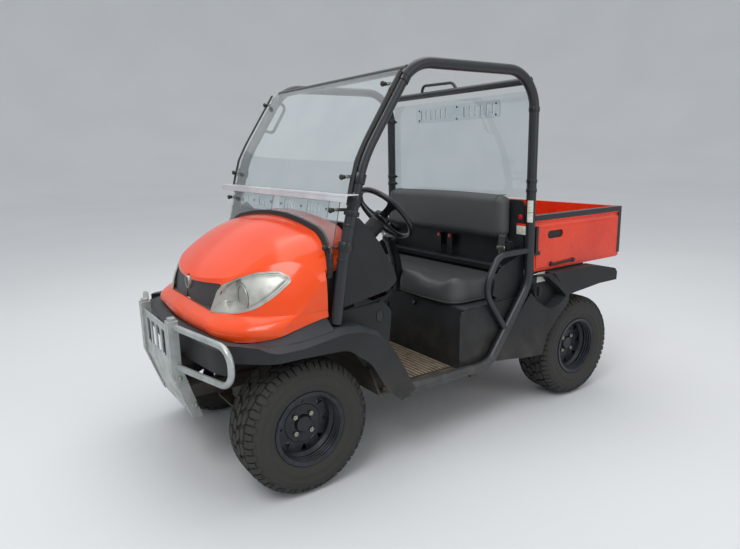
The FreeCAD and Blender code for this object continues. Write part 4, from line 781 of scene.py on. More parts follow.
class VEHICLE_OT_stage(bpy.types.Operator):
    """Camera at the photograph's angle, pale floor and soft studio light"""
    bl_idname = "vehicle.stage"
    bl_label = "Stage"

    def execute(self, context):
        self.place_camera(context)
        self.lay_floor()
        self.hang_lights(context)
        return {"FINISHED"}

    def place_camera(self, context):
        yaw, pitch, roll = CAMERA_TURN
        toward = Vector((-math.sin(yaw) * math.cos(pitch), math.cos(yaw) * math.cos(pitch), -math.sin(pitch)))
        side = Vector((math.cos(yaw), math.sin(yaw), 0))
        up = side.cross(toward)
        right = side * math.cos(roll) + up * math.sin(roll)
        top = up * math.cos(roll) - side * math.sin(roll)
        turn = Matrix((right, top, -toward)).transposed()
        camera = bpy.data.objects.new("Camera", bpy.data.cameras.new("Camera"))
        context.scene.collection.objects.link(camera)
        camera.matrix_world = Matrix.Translation(CAMERA_PLACE) @ turn.to_4x4()
        camera.data.sensor_width = 36.0
        camera.data.lens = scene_sizes().lens
        context.scene.camera = camera

    def lay_floor(self):
        """Floor of pale paper that curves up far away, so that no horizon shows."""
        reach = scene_sizes().floor * 1000
        rise = reach * 0.4
        profile = [(0, 0, -1), (reach - rise, 0, -1)]
        for i in range(1, 13):
            a = math.radians(7.5 * i)
            profile.append((reach - rise + rise * math.sin(a), 0, rise * (1 - math.cos(a)) - 1))
        floor = spun(profile, 96, (0, 0, 1))
        floor.name = "studio_floor"
        activate(floor)
        bpy.ops.object.shade_smooth()
        f = Finish("studio_floor_paper", Roughness=0.9)
        f.mottle(2500, 1, (0.2, 0.8), "#D9DBDC", "#D5D7D8")
        floor.data.materials.append(f.material)

    def hang_lights(self, context):
        context.scene.view_settings.view_transform = "Standard"
        world = bpy.data.worlds.new("studio")
        world.use_nodes = True
        backdrop = world.node_tree.nodes["Background"]
        backdrop.inputs["Color"].default_value = linear("#F1F4F8")
        backdrop.inputs["Strength"].default_value = 0.8
        context.scene.world = world
        for name, place, size, power in STUDIO_LAMPS:
            lamp = bpy.data.lights.new(name, "AREA")
            lamp.size = size
            lamp.energy = power
            holder = bpy.data.objects.new(name, lamp)
            context.scene.collection.objects.link(holder)
            holder.location = place
            aim = LAMPS_AIM - Vector(place)
            holder.rotation_euler = aim.to_track_quat("-Z", "Y").to_euler()


class VEHICLE_OT_finishes(bpy.types.Operator):
    """Gives every solid of the vehicle its finish"""
    bl_idname = "vehicle.finishes"
    bl_label = "Finishes"

    def execute(self, context):
        for finish, nodes in NODE_FINISHES.items():
            material = finish_named(finish)
            for node in nodes:
                mesh = NODES[node].data
                mesh.materials.clear()
                mesh.materials.append(material)
        return {"FINISHED"}


# Half of the tyre's outer profile: across the tyre and from the axle
CARCASS = (
    (0, 287.5), (45, 287), (74, 285), (90, 281), (101, 273.5), (108, 262), (111, 250), (111.5, 241),
    (113, 239), (113, 236), (112, 234), (112.5, 222), (112, 206), (113, 204), (112.6, 201), (111, 199),
    (108, 186), (104, 176), (99.5, 169), (96.5, 164), (95.5, 154),
)
PITCHES = 28
TREAD_DEPTH = 12.5
BLOCK_ROOT = -2.0
BLOCK_CHAMFER = 1.6
# Blocks get shallower from here on, by this much a millimetre
TAPER_FROM = 80
TAPER = 0.21
# Lightness of the bare wall, which fades to the painted shade of the grooves between these distances from the
# axle
WALL_SHADE = 0.4
SHOULDER = (244, 262)
WHEEL_STEPS = 72
NUT_CIRCLE = 55
# Tread blocks of one pitch, on one side of the centre line, as columns across the tyre:
# distance from the centre line along the surface, and the block's start and end along the tread
TREAD_BLOCKS = (
    ((3, 2, 42), (12, 2, 52), (23, 8, 54), (32, 20, 38)),
    ((38, 26, 60), (48, 14, 70), (60, 22, 72), (69, 30, 60)),
    ((75, 0, 25), (90, -3, 28), (105, -1, 26), (119, 2, 23)),
    ((75, 32, 57), (90, 34, 55), (104, 33, 56)),
)


def carcass_at(reach):
    """Point and outward normal of the tyre's skin, reach along it from the crown."""
    left = reach
    for (x0, r0), (x1, r1) in zip(CARCASS, CARCASS[1:]):
        length = math.hypot(x1 - x0, r1 - r0)
        if left <= length:
            share = left / length
            place = (x0 + (x1 - x0) * share, r0 + (r1 - r0) * share)
            return place, ((r0 - r1) / length, (x1 - x0) / length)
        left -= length
    raise ValueError("the tread runs past the tyre's bead")


def on_tread(reach, along, height):
    """Point above the tread, from its places across and along it and its height."""
    side = 1 if reach >= 0 else -1
    (x, r), (across, out) = carcass_at(abs(reach))
    angle = along / CARCASS[0][1]
    radius = r + out * height
    return side * (x + across * height), radius * math.sin(angle), radius * math.cos(angle)


def tread_block(columns, side, shift, vertices, polygons):
    """Adds one chamfered block to the lists; it tapers where it wraps over the shoulder."""
    count = len(columns)
    first = len(vertices)
    for level, inset in ((BLOCK_ROOT, 0), (-BLOCK_CHAMFER, 0), (0.0, BLOCK_CHAMFER)):
        for i, (reach, start, end) in enumerate(columns):
            full = TREAD_DEPTH - max(0, reach - TAPER_FROM) * TAPER
            height = level if level == BLOCK_ROOT else full + level
            pull = inset * ((i == 0) - (i == count - 1))
            for along in (start + inset, end - inset):
                vertices.append(on_tread(side * (reach + pull), along + shift, height))
    ring = [2 * i for i in range(count)] + [2 * i + 1 for i in reversed(range(count))]
    for level in range(2):
        base = first + level * 2 * count
        for a, b in zip(ring, ring[1:] + ring[:1]):
            polygons.append((base + a, base + b, base + b + 2 * count, base + a + 2 * count))
    top = first + 4 * count
    for i in range(count - 1):
        polygons.append((top + 2 * i, top + 2 * i + 2, top + 2 * i + 3, top + 2 * i + 1))


class VEHICLE_OT_tyres(bpy.types.Operator):
    """All-terrain tyres with interlocking tread blocks, and the wheels' rings, nuts and valves"""
    bl_idname = "vehicle.tyres"
    bl_label = "Tyres"

    def execute(self, context):
        tyre = self.tyre()
        rings = self.rings()
        nuts = self.nuts()
        valve = bar((44, 0, 137), (66, 0, 137), 4, 12, 1)
        for place in ("front_left", "front_right", "rear_left", "rear_right"):
            low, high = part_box("tyre_" + place)
            centre = (low + high) * 500
            body = "wheel_" + place
            for source, name, finish, slot, stands_for in (
                    (tyre, "tread_tyre_", "tyre_rubber", "tyre_rubber", ("tyre_" + place,)),
                    (rings, "rim_rings_", "wheel_enamel", "rim_black", ()),
                    (nuts, "wheel_nuts_", "zinc_plate", "axle_grey", ()),
                    (valve, "valve_stem_", "moulded_black_nylon", "seal_rubber", ())):
                twin = copied(source)
                if place.endswith("right"):
                    turned(twin, 180, "Z")
                piece([moved(twin, centre)], name + place, finish, body, slot, stands_for)
        for source in (tyre, rings, nuts, valve):
            bpy.data.objects.remove(source)
        return {"FINISHED"}

    def tyre(self):
        half = [(x, 0, r) for x, r in CARCASS]
        profile = [(-x, y, z) for x, y, z in reversed(half[1:])] + half
        vertices = []
        polygons = []
        pitch = math.tau * CARCASS[0][1] / PITCHES
        for i in range(PITCHES):
            for columns in TREAD_BLOCKS:
                tread_block(columns, 1, i * pitch, vertices, polygons)
                tread_block(columns, -1, (i + 0.5) * pitch, vertices, polygons)
        parts = [spun(profile, 84, (1, 0, 0)), faces(vertices, polygons)]
        for part, on_block in zip(parts, (False, True)):
            layer = part.data.attributes.new("tread", "FLOAT", "POINT")
            reach = [math.hypot(vertex.co.y, vertex.co.z) * 1000 for vertex in part.data.vertices]
            # Painted shade: the carcass between the blocks gets 0, so the groove floors stay darkest
            values = [1.0 if on_block else WALL_SHADE * (1 - eased(r, *SHOULDER)) for r in reach]
            layer.data.foreach_set("value", values)
        return joined(parts)

    def rings(self):
        """Rolled ridges inside the dish and the rolled edge of the lip."""
        parts = []
        for x in (56, 72, 88):
            foot = [(x - 6, 0, 148.3)]
            ridge = foot + [(x - 2, 0, 144.4), (x + 2, 0, 144.4), (x + 6, 0, 148.3)] + foot
            parts.append(spun(ridge, WHEEL_STEPS, (1, 0, 0)))
        edge = []
        for i in range(11):
            a = math.radians(36 * i)
            edge.append((102.5 + 2.6 * math.cos(a), 0, 164 + 2.6 * math.sin(a)))
        parts.append(spun(edge, WHEEL_STEPS, (1, 0, 0)))
        bead = [(27.8, 0, 84), (30.5, 0, 86), (30.5, 0, 88), (27.8, 0, 90), (27.8, 0, 84)]
        parts.append(spun(bead, 48, (1, 0, 0)))
        return joined(parts)

    def nuts(self):
        parts = []
        for i in range(4):
            nut = bar((27.6, 0, NUT_CIRCLE), (38.8, 0, NUT_CIRCLE), 12.0, 6, 1.2)
            stud = bar((30, 0, NUT_CIRCLE), (43, 0, NUT_CIRCLE), 5.5, 16, 1)
            parts.append(turned(joined([nut, stud]), 90 * (i + 0.5), "X"))
        return joined(parts)


def soft_form(low, high, rounding, cuts, shape):
    """Rounded upholstered block; shape moves each point of its skin."""
    centre, half = (low + high) / 2, (high - low) / 2
    deselect()
    bpy.ops.mesh.primitive_cube_add(size=2)
    obj = edit(bpy.context.object, lambda: bpy.ops.mesh.subdivide(number_cuts=cuts))
    for vertex in obj.data.vertices:
        spot = Vector(vertex.co[i] * half[i] for i in range(3))
        core = Vector(max(-half[i] + rounding, min(half[i] - rounding, spot[i])) for i in range(3))
        offset = spot - core
        if offset.length > 0:
            spot = core + offset.normalized() * rounding
        vertex.co = point(*shape(centre + spot, spot.z / half.z))
    return modify(obj, "SUBSURF", levels=1, render_levels=1)


def upholstered(parts, name, stands_for=()):
    return piece(parts, name, "seat_vinyl", "chassis", "seat_vinyl", stands_for, 60)


# Front of the bench from left to right, with its notch: across, along the vehicle and rounding
CUSHION_FRONT = (
    (-520, 140, 90), (-505, 66, 60), (-430, 38, 60), (-250, 32, 60), (-80, 44, 40), (-42, 60, 20),
    (-22, 128, 24), (22, 128, 24), (42, 60, 20), (80, 44, 40), (250, 32, 60), (430, 38, 60),
    (505, 66, 60), (520, 140, 90),
)
CUSHION_BACK_ROUNDING = 25
# Side of the bench from its foot up: height and how far it stands in
CUSHION_SIDE = ((1, 18), (6, 7), (14, 4), (30, 1.5), (52, 1), (72, 5))
CUSHION_RINGS = (8, 18, 32, 48, 66, 88, 112)
CUSHION_SHARES = (0.12, 0.25, 0.4, 0.55, 0.7, 0.85, 0.96)
CUSHION_TOP = 96
BACKREST_ROUNDING = 44
SPINE_END = 215                 # of the bench's middle line, in from its side
SPINE_Y = 285
WELT_RADIUS = 3.0
SEAM_RADIUS = 1.6
SEAM_INSET = 50


class VEHICLE_OT_seats(bpy.types.Operator):
    """Upholstered bench and backrest with their welts"""
    bl_idname = "vehicle.seats"
    bl_label = "Seats"

    def execute(self, context):
        self.bench()
        self.backrest()
        return {"FINISHED"}

    def bench(self):
        """Bench with a notch at the middle of its front, rolls round the thighs and a welt at its foot."""
        low, high = box_mm("seat_cushion")
        back = [(x, high.y, CUSHION_BACK_ROUNDING) for x in (high.x, low.x)]
        loop = flat_loop([*CUSHION_FRONT, *back])
        insets = [(inset, 0) for _, inset in CUSHION_SIDE] + [(inset, 0) for inset in CUSHION_RINGS]
        insets += [(CUSHION_RINGS[-1], share) for share in CUSHION_SHARES]

        def place(spot, ring, depth):
            if ring < len(CUSHION_SIDE):
                return spot.x, spot.y, low.z + CUSHION_SIDE[ring][0]
            x, y = abs(spot.x), spot.y
            roll = (34 * hump(x, 135, 105) + 26 * hump(x, 478, 75) + 6) * hump(y, 92, 66)
            side_roll = 15 * hump(x, 488, 42)
            ridge = 9 * hump(x, 0, 70) * eased(y, 130, 240)
            thigh_dip = 7 * hump(x, 270, 130) * hump(y, 300, 130)
            rim = 15 * (1 - eased(depth, 4, 34)) + 18 * (1 - eased(depth, 3, 16))
            uneven = noise.noise(Vector((spot.x, y, 0)) / 75) * 2.0
            uneven += noise.noise(Vector((spot.x, y, 9)) / 24) * 0.7
            return spot.x, y, low.z + CUSHION_TOP + roll + side_roll + ridge - thigh_dip + uneven - rim
        ends = (Vector((low.x + SPINE_END, SPINE_Y)), Vector((high.x - SPINE_END, SPINE_Y)))
        body = modify(ringed(loop, ends, insets, place), "SUBSURF", levels=1, render_levels=1)
        upholstered([body], "bench_cushion", ("seat_cushion",))
        welt = wire([(x * 1.002, y - 0.5, low.z + 15) for x, y in loop], WELT_RADIUS, closed=True)
        upholstered([welt], "bench_welt")

    def backrest(self):
        low, high = box_mm("seat_backrest")
        width = high.x
        tall = (high.z - low.z) / 2
        middle = (high.z + low.z) / 2

        def shape(spot, up):
            forward = eased(high.y - spot.y, 20, 60)
            bulge = 10 * (1 - ((spot.z - middle) / tall) ** 2) * (1 - (spot.x / width) ** 4) * forward
            crown = (9 * (1 - (spot.x / width) ** 2) - 8) * max(0.0, up)
            uneven = noise.noise(spot / 110) * 2.4 + noise.noise(spot / 30) * 0.7
            return spot.x, spot.y + (7 - uneven) * forward - bulge, spot.z + crown
        body = soft_form(low, high, BACKREST_ROUNDING, 26, shape)
        upholstered([body], "backrest_cushion", ("seat_backrest",))
        seams = []
        for x in (SEAM_INSET - width, width - SEAM_INSET):
            back, front, top = high.y - 4, low.y + 5.5, high.z - 6.5
            rows = [(x, back, top), (x, front, top), (x, front, low.z), (x, back, low.z)]
            seams.append(wire(rounded_path(rows, 46), SEAM_RADIUS))
        upholstered(seams, "backrest_seams")


BUCKLE_X = (-60, 40)
BELT_X = 540
BELT_WIDTH = 46
BELT_THICKNESS = 1.4
# Belt from its reel over the guide and down: along the vehicle and height
BELT_PATH = (
    (424, 969), (404, 972), (392, 984), (390, 1004), (382, 1010), (374, 1002), (372, 978), (368, 940))


class VEHICLE_OT_belts(bpy.types.Operator):
    """Red buckle buttons, and the webbing with its tongue at each reel"""
    bl_idname = "vehicle.belts"
    bl_label = "Belts"

    def execute(self, context):
        buttons = []
        for x in BUCKLE_X:
            buttons.append(slab((x - 12, 451.4, 936), (x + 12, 458, 956.5), 1.5))
            buttons.append(slab((x - 12, 452, 954), (x + 12, 470, 957.5), 1.2))
        piece(buttons, "buckle_buttons", "signal_red_abs", "chassis", "black_plastic")
        straps = []
        tongues = []
        for x in (-BELT_X, BELT_X):
            straps.append(self.ribbon(x))
            tongues.append(slab((x - 15, 366, 896), (x + 15, 369, 948), 1))
            tongues.append(slab((x - 27, 362, 930), (x + 27, 373, 952), 3))
        piece(straps, "belt_webbing", "polyester_webbing", "chassis", "black_plastic")
        piece(tongues, "belt_tongues", "zinc_plate", "chassis", "axle_grey")
        return {"FINISHED"}

    def ribbon(self, x):
        """Strap of even width along the belt's path."""
        left, right = x - BELT_WIDTH / 2, x + BELT_WIDTH / 2
        rings = []
        for i, (y, z) in enumerate(BELT_PATH):
            before, after = BELT_PATH[max(0, i - 1)], BELT_PATH[min(len(BELT_PATH) - 1, i + 1)]
            along = Vector((after[0] - before[0], after[1] - before[1])).normalized() * BELT_THICKNESS / 2
            lower, upper = (y + along.y, z - along.x), (y - along.y, z + along.x)
            rings.append([(left, *lower), (right, *lower), (right, *upper), (left, *upper)])
        return loft(rings)


# Centre line of the front posts as height and place along the vehicle
POST_LINE = ((740, -721), (1013, -676), (1340, -591), (1427, -561), (1510, -512), (1840, -293))
POST_TOP = POST_LINE[-1][0]
POST_X = 615
POST_RADIUS = 25.4
REAR_POST_Y = 508
# Front face of the lower sheet: a height, its place along the vehicle there, and how it leans back
LOWER_SHEET = (945, -738, 0.2346)
LEDGE_TOP = 1290.3
SHEET_TOP = 1801
SHEET_HALF = 632
SHEET_OFFSET = 40               # from the post's centre line to the upper sheet's front
SHEET_THICKNESS = 4
STRIP_WIDTH = 9
# Bands round the front posts: lower end, upper end and how far they stand out
POST_BANDS = (
    (1752, 1778, 4), (1330, 1372, 6), (1236, 1290, 5), (1196, 1216, 8), (1150, 1160, 3), (1048, 1086, 7),
    (1006, 1016, 3))
# Knobs of the front sheets: across and height
FRONT_KNOBS = ((592, 1742), (592, 1359), (570, 1222), (570, 1065))
# Clamps of the rear window: height and half height
REAR_CLAMPS = ((1655, 12), (1290, 10), (1242, 10))
REAR_KNOB_X = 588
# Vent plates of the lower sheet: left and right end and the slots across
VENT_Z = 1221
VENT_PLATES = (
    (-448, -48, (-410, -378, -346, -198, -166, -134)),
    (34, 508, (98, 130, 162, 194, 326, 358, 390, 422)))
VENT_RIVETS = (-272, -64, 50, 260, 493)
REAR_SLOTS = [side * (80 + 46 * i) for side in (-1, 1) for i in range(6)]
REAR_PINS = ((17, 1711), (17, 1643), (333, 1708), (333, 1648), (-333, 1708), (-333, 1648))
SLOT_RADIUS = 7


def post_y(z):
    """Place of the post's centre line along the vehicle at a height."""
    for (z0, y0), (z1, y1) in zip(POST_LINE, POST_LINE[1:]):
        if z <= z1:
            return y0 + (y1 - y0) * (z - z0) / (z1 - z0)
    raise ValueError("above the posts")


def before_post(z, offset):
    """Line in front of the post, offset from its centre line and bent as it is."""
    above, below = min(POST_TOP, z + 40), z - 40
    lean = (post_y(above) - post_y(below)) / (above - below)
    return post_y(z) - offset * math.hypot(1, lean)


def sheet_front(z):
    """Front face of whichever sheet is at a height."""
    z0, y0, lean = LOWER_SHEET
    return y0 + (z - z0) * lean if z < LEDGE_TOP else before_post(z, SHEET_OFFSET)


def bent_band(left, right, front, back):
    """Band bent along the posts over the upper sheet's height, between two places across and two offsets."""
    rings = []
    for i in range(37):
        z = LEDGE_TOP + (SHEET_TOP - LEDGE_TOP) * i / 36
        y_front, y_back = before_post(z, front), before_post(z, back)
        rings.append([(left, y_front, z), (right, y_front, z), (right, y_back, z), (left, y_back, z)])
    return loft(rings)


def rounded_corners(obj, reach):
    """Rounds a slab's edges that run along the vehicle."""
    activate(obj)
    bpy.ops.object.mode_set(mode="EDIT")
    bpy.ops.mesh.select_mode(type="EDGE")
    bpy.ops.mesh.select_all(action="DESELECT")
    bpy.ops.object.mode_set(mode="OBJECT")
    for edge in obj.data.edges:
        a, b = (obj.data.vertices[i].co for i in edge.vertices)
        edge.select = abs(a.x - b.x) < 1e-6 and abs(a.z - b.z) < 1e-6
    bpy.ops.object.mode_set(mode="EDIT")
    bpy.ops.mesh.bevel(offset=reach / 1000, segments=5, affect="EDGES")
    bpy.ops.mesh.select_mode(type="VERT")
    bpy.ops.object.mode_set(mode="OBJECT")
    return obj


def slotted_plate(low, high, corner, slots, slot_half):
    """Upright plate with rounded corners and round-ended slots. Slots are places across it."""
    obj = modify(rounded_corners(slab(low, high), corner), "TRIANGULATE")
    past = (high[1] - low[1]) * 4
    front, back = low[1] - past, high[1] + past
    middle = (low[2] + high[2]) / 2
    bottom, top = middle - slot_half, middle + slot_half
    half = SLOT_RADIUS - 0.1
    cutters = []
    for x in slots:
        for z in (bottom, top):
            cutters.append(bar((x, front, z), (x, back, z), SLOT_RADIUS, 16))
        cutters.append(slab((x - half, front + 0.5, bottom), (x + half, back - 0.5, top)))
    cutter = joined(cutters)
    modify(obj, "BOOLEAN", operation="DIFFERENCE", object=cutter, solver="EXACT", use_self=True)
    bpy.data.objects.remove(cutter)
    return obj


class VEHICLE_OT_windshield(bpy.types.Operator):
    """Bent upper sheet with its strips, the ledge's lip, clamps, knobs and vent plates"""
    bl_idname = "vehicle.windshield"
    bl_label = "Windshield and rear window fittings"

    def execute(self, context):
        self.upper_sheet()
        self.clamps()
        self.vents()
        return {"FINISHED"}

    def upper_sheet(self):
        front, back = SHEET_OFFSET, SHEET_OFFSET - SHEET_THICKNESS
        sheet = bent_band(-SHEET_HALF, SHEET_HALF, front, back)
        piece([sheet], "upper_sheet", "clear_polycarbonate", "chassis", "clear_sheet", ("windshield_upper",))
        low, high = box_mm("windshield_ledge")
        lip = slab((low.x, low.y, low.z - 20), (high.x, low.y + 4, low.z + 2), 1.2)
        piece([lip], "ledge_lip", "milky_polycarbonate", "chassis", "clear_sheet")
        strips = []
        for side in (-1, 1):
            edges = sorted((side * (SHEET_HALF - STRIP_WIDTH), side * (SHEET_HALF + 2)))
            strips.append(bent_band(*edges, front + 4, front + 0.3))
            strips.append(bent_band(*edges, back - 0.3, back - 4))
            edges = sorted((side * (SHEET_HALF + 0.4), side * (SHEET_HALF + 3)))
            strips.append(bent_band(*edges, front + 3.8, back - 3.8))
        piece(strips, "edge_strips", "moulded_black_nylon", "chassis", "seal_rubber", ("windshield_edging",))

    def clamps(self):
        clamps = []
        knobs = []
        screws = []
        for side in (-1, 1):
            post = side * POST_X
            for low, high, extra in POST_BANDS:
                start, end = (post, post_y(low), low), (post, post_y(high), high)
                clamps.append(bar(start, end, POST_RADIUS + extra, 32, 2))
            for across, z in FRONT_KNOBS:
                x, y = side * across, sheet_front(z)
                clamps.append(bar((x, y + 4.4, z), (side * 606, post_y(z), z), 7, 12))
                screws.append(bar((x, y - 16, z), (x, y + 12, z), 3.4, 12))
                screws.append(bar((x, y - 2.6, z), (x, y - 0.4, z), 9, 20, 0.6))
                knobs.append(bar((x, y - 26, z), (x, y - 12, z), 9, 16, 2.5))
                knobs.append(ball((x, y - 30, z), 12.5, (1, 0.75, 1)))
            x = side * REAR_KNOB_X
            for z, half in REAR_CLAMPS:
                start, end = (post, REAR_POST_Y, z - half), (post, REAR_POST_Y, z + half)
                clamps.append(bar(start, end, 28.5, 32, 1.5))
                clamps.append(bar((side * 604, 528, z), (x, 536, z), 6, 12, 1))
                screws.append(bar((x, 524, z), (x, 542, z), 3.2, 12))
                knobs.append(ball((x, 524, z), 9, (1, 0.8, 1)))
        piece(clamps, "sheet_clamps", "moulded_black_nylon", "chassis", "seal_rubber")
        piece(knobs, "clamp_knobs", "moulded_black_nylon", "chassis", "seal_rubber")
        piece(screws, "sheet_screws", "zinc_plate", "chassis", "axle_grey")

    def vents(self):
        plates = []
        y = sheet_front(VENT_Z) - 4
        lean = math.degrees(math.atan(LOWER_SHEET[2]))
        for left, right, slots in VENT_PLATES:
            plate = slotted_plate((left, y, VENT_Z - 40), (right, y + 2.4, VENT_Z + 40), 10, slots, 17)
            plates.append(turned(plate, -lean, "X", (0, y, VENT_Z)))
        rivets = [bar((x, y - 2.6, VENT_Z), (x, y + 4, VENT_Z), 6.5, 16, 1) for x in VENT_RIVETS]
        plates.append(slotted_plate((-362, 526.5, 1632), (362, 529, 1726), 24, REAR_SLOTS, 22))
        piece(plates, "vent_plates", "clear_polycarbonate", "chassis", "clear_sheet", (), 30)
        piece(rivets, "vent_rivets", "zinc_plate", "chassis", "axle_grey")
        pins = [bar((x, 523.6, z), (x, 526.3, z), 6, 16, 1) for x, z in REAR_PINS]
        piece(pins, "vent_pins", "moulded_black_nylon", "chassis", "seal_rubber")


WHEEL_CENTRE = (270, -199, 1148)
WHEEL_TILT = -50
WHEEL_RADIUS = 165.5
WHEEL_GRIP = 14.5
SPOKE_HEADINGS = (90, 210, 330)
# Spoke from the hub to the rim: from the centre, half width, height and half thickness
SPOKE_STATIONS = (
    (20, 26, -34, 9), (60, 23, -31, 7.5), (95, 20, -23, 6.5), (125, 21, -13, 6), (145, 29, -6, 6),
    (157, 41, -2, 6), (166, 52, 0, 5))
# Section of a spoke, in half widths and half thicknesses
SPOKE_SECTION = ((-1, 0), (-0.75, 1), (0.75, 1), (1, 0), (0.75, -1), (-0.75, -1))
# Lever tower and its pod: centre across, along and up, then the half widths across and along
TOWER_STATIONS = (
    (0, 94, 658, 34, 30), (4, 84, 740, 28, 27), (28, 42, 860, 26, 25), (58, -14, 956, 28, 22),
    (60, -16, 972, 46, 26), (60, -16, 988, 50, 29), (60, -17, 1000, 44, 24), (60, -17, 1003, 30, 14))
POD_FOOT = 960
POD_SLOPE = 7
# Cowl's turned edge: along the vehicle, and its height at the outer and the inner side
COWL_LIP = (
    (-744, 749, 768), (-677, 786, 770), (-588, 798, 773), (-507, 808, 777), (-428, 823, 782),
    (-411, 834, 783))
LIP_OUTER = 604
LIP_INNER = 556
LIP_THICKNESS = 3
# Web behind the hood's side: along the vehicle and height
COWL_WEB = ((-760, 700), (-592, 700), (-592, 985), (-690, 985), (-760, 880))
# Oval recess of the kick panel: across, along the vehicle and height, with its half sizes
RECESS = Vector((560, -450, 713))
RECESS_HALF = (19, 27.5)
LATCH_LINE = ("seat_base", (181, -300, 619), (0, 1, 0))


class VEHICLE_OT_cab(bpy.types.Operator):
    """Steering wheel, shift lever pod, cowl lip and small fittings under the seat"""
    bl_idname = "vehicle.cab"
    bl_label = "Cab fittings"

    def execute(self, context):
        self.steering_wheel()
        self.shift_pod()
        self.cowl_lip()
        self.kick_panel()
        return {"FINISHED"}

    def steering_wheel(self):
        """Rim, three flat spokes that flare at the rim, and a hub with its cap, made flat and then tilted."""
        parts = [tube_ring((0, 0, 0), WHEEL_RADIUS, WHEEL_GRIP, (0, 0, 1), 72, 16)]
        for heading in SPOKE_HEADINGS:
            rings = [[(reach, half * across, z + thick * up) for across, up in SPOKE_SECTION]
                     for reach, half, z, thick in SPOKE_STATIONS]
            spoke = modify(loft(rings), "SUBSURF", levels=2, render_levels=2)
            parts.append(turned(spoke, heading, "Z"))
        parts.append(bar((0, 0, -50), (0, 0, -18), 46, 48, 5))
        parts.append(bar((0, 0, -20), (0, 0, -11), 34, 48, 3))
        parts.append(ball((0, 0, -13), 22, (1, 1, 0.35)))
        wheel = moved(turned(joined(parts), WHEEL_TILT, "X"), WHEEL_CENTRE)
        piece([wheel], "steering_wheel_form", "moulded_black_nylon", "steering", "black_plastic",
              ("steering_wheel",))

    def shift_pod(self):
        """Lever tower in the notch of the bench, its pod, and the gear mark as a bare red dash."""
        rings = []
        for x, y, z, half_x, half_y in TOWER_STATIONS:
            ring = []
            for i in range(24):
                across, along = math.cos(math.tau * i / 24), math.sin(math.tau * i / 24)
                bulge = (abs(across) ** 4 + abs(along) ** 4) ** 0.25
                rise = POD_SLOPE * along if z > POD_FOOT else 0
                ring.append((x + half_x * across / bulge, y + half_y * along / bulge, z + rise))
            rings.append(ring)
        piece([loft(rings)], "shift_tower", "cab_polypropylene", "chassis", "black_plastic", (), 50)
        dash = turned(slab((50, -21, 1002), (72, -15, 1004.2), 0.6), 12, "Z", (60, -18, 1003))
        piece([dash], "gear_mark", "signal_red_abs", "chassis", "black_plastic")

    def cowl_lip(self):
        """Turned edge under the cowl, the rim of the recess and the web behind the hood."""
        rings = []
        for y, outer, inner in COWL_LIP:
            rings.append([(LIP_OUTER, y, outer), (LIP_OUTER, y, outer - LIP_THICKNESS),
                          (LIP_INNER, y, inner - LIP_THICKNESS), (LIP_INNER, y, inner)])
        along, up = RECESS_HALF
        angles = [math.tau * i / 40 for i in range(40)]
        oval = [RECESS + Vector((0.2, along * math.cos(a), up * math.sin(a))) for a in angles]
        web = modify(upright_web(COWL_WEB, LIP_INNER, LIP_INNER + 10), "BEVEL", width=0.003, segments=2,
                     limit_method="NONE")
        parts = [loft(rings), wire(oval, 2.2, closed=True), web]
        piece(pair(*parts), "cowl_lips", "fender_polypropylene", "chassis",
              "black_plastic")

    def kick_panel(self):
        """Dark discs painted as the shade of the recess and of a hole above it, and the latch under the
        bench.
        """
        # Painted shade: a flat dark disc stands for the recess, and a small one for the hole
        pit = bar((-1, 0, 0), (0.6, 0, 0), 1, 40)
        pit.data.transform(Matrix.Diagonal((1, *RECESS_HALF, 1)))
        parts = [moved(pit, RECESS), bar((559, -485, 762), (560.4, -485, 762), 4, 16)]
        piece(pair(*parts), "kick_panel_recess_shade", "moulded_black_nylon", "chassis", "black_plastic")
        piece([head_on(*LATCH_LINE, 15, 7)], "seat_latch", "moulded_black_nylon", "chassis", "black_plastic")
        piece([head_on(*LATCH_LINE, 6, 10)], "seat_latch_pin", "zinc_plate", "chassis", "axle_grey")


# Headlight opening, seen along the line that looks into the front corner: across, height and rounding
LAMP_OUTLINE = (
    (-142, 795, 5), (-106, 885, 10), (-78, 917, 8), (-12, 950, 14), (58, 973, 14), (153, 981, 10),
    (195, 961, 9), (205, 941, 7), (188, 927, 10), (132, 882, 24), (48, 829, 24), (-35, 805, 20),
)
LAMP_CENTRE = Vector((430, -1062, 0))
LAMP_TURN = math.radians(68.3)
LAMP_OUTWARD = Vector((math.cos(LAMP_TURN), math.sin(LAMP_TURN), 0))
LAMP_INWARD = Vector((-math.sin(LAMP_TURN), math.cos(LAMP_TURN), 0))
LAMP_MIDDLE = Vector((30, 888))
# The nose's surface there: a factor, and the powers of the place across and of the height above SKIN_Z,
# both in 100 mm
NOSE_SKIN = (
    (0.31, 0, 0), (-72.2, 1, 0), (46.0, 0, 1), (18.6, 2, 0), (-7.1, 1, 1), (17.4, 0, 2), (-0.8, 3, 0))
SKIN_Z = 880
# Rings of the bowl: inset, and share of the way to the middle that is left
FLANGE_RINGS = ((0.5, 0), (0.5, 0), (1.8, 0), (3, 0))
FLANGE_DEPTHS = (9, 0.4, -0.5)
BOWL_SHARES = (0.012, 0.025, 0.04, 0.06, 0.08, 0.1, 0.125, 0.15, 0.18, 0.21, 0.24)
BOWL_DEEPEST = 95
LENS_X = 397
LENS_Z = 866
LENS_FRONT = -1050
BARREL_RADIUS = 58
WELL_RADIUS = 49.9
WELL_BACK = -1030
# Barrel from its seat for the lens round the bezel and back: radius and place along the vehicle
BARREL = (
    (50.2, WELL_BACK), (50.2, -1046), (51.5, LENS_FRONT), (56.5, LENS_FRONT - 0.5), (BARREL_RADIUS, -1048),
    (BARREL_RADIUS, -1030), (59.5, -1028), (59.5, -1018), (BARREL_RADIUS, -1016), (BARREL_RADIUS, -940))
# Dark well behind the reflector, painted shade of the lamp's inside: radius and place along the vehicle
SHADE_WELL = ((0.5, WELL_BACK), (WELL_RADIUS, WELL_BACK), (WELL_RADIUS, -1044.5))
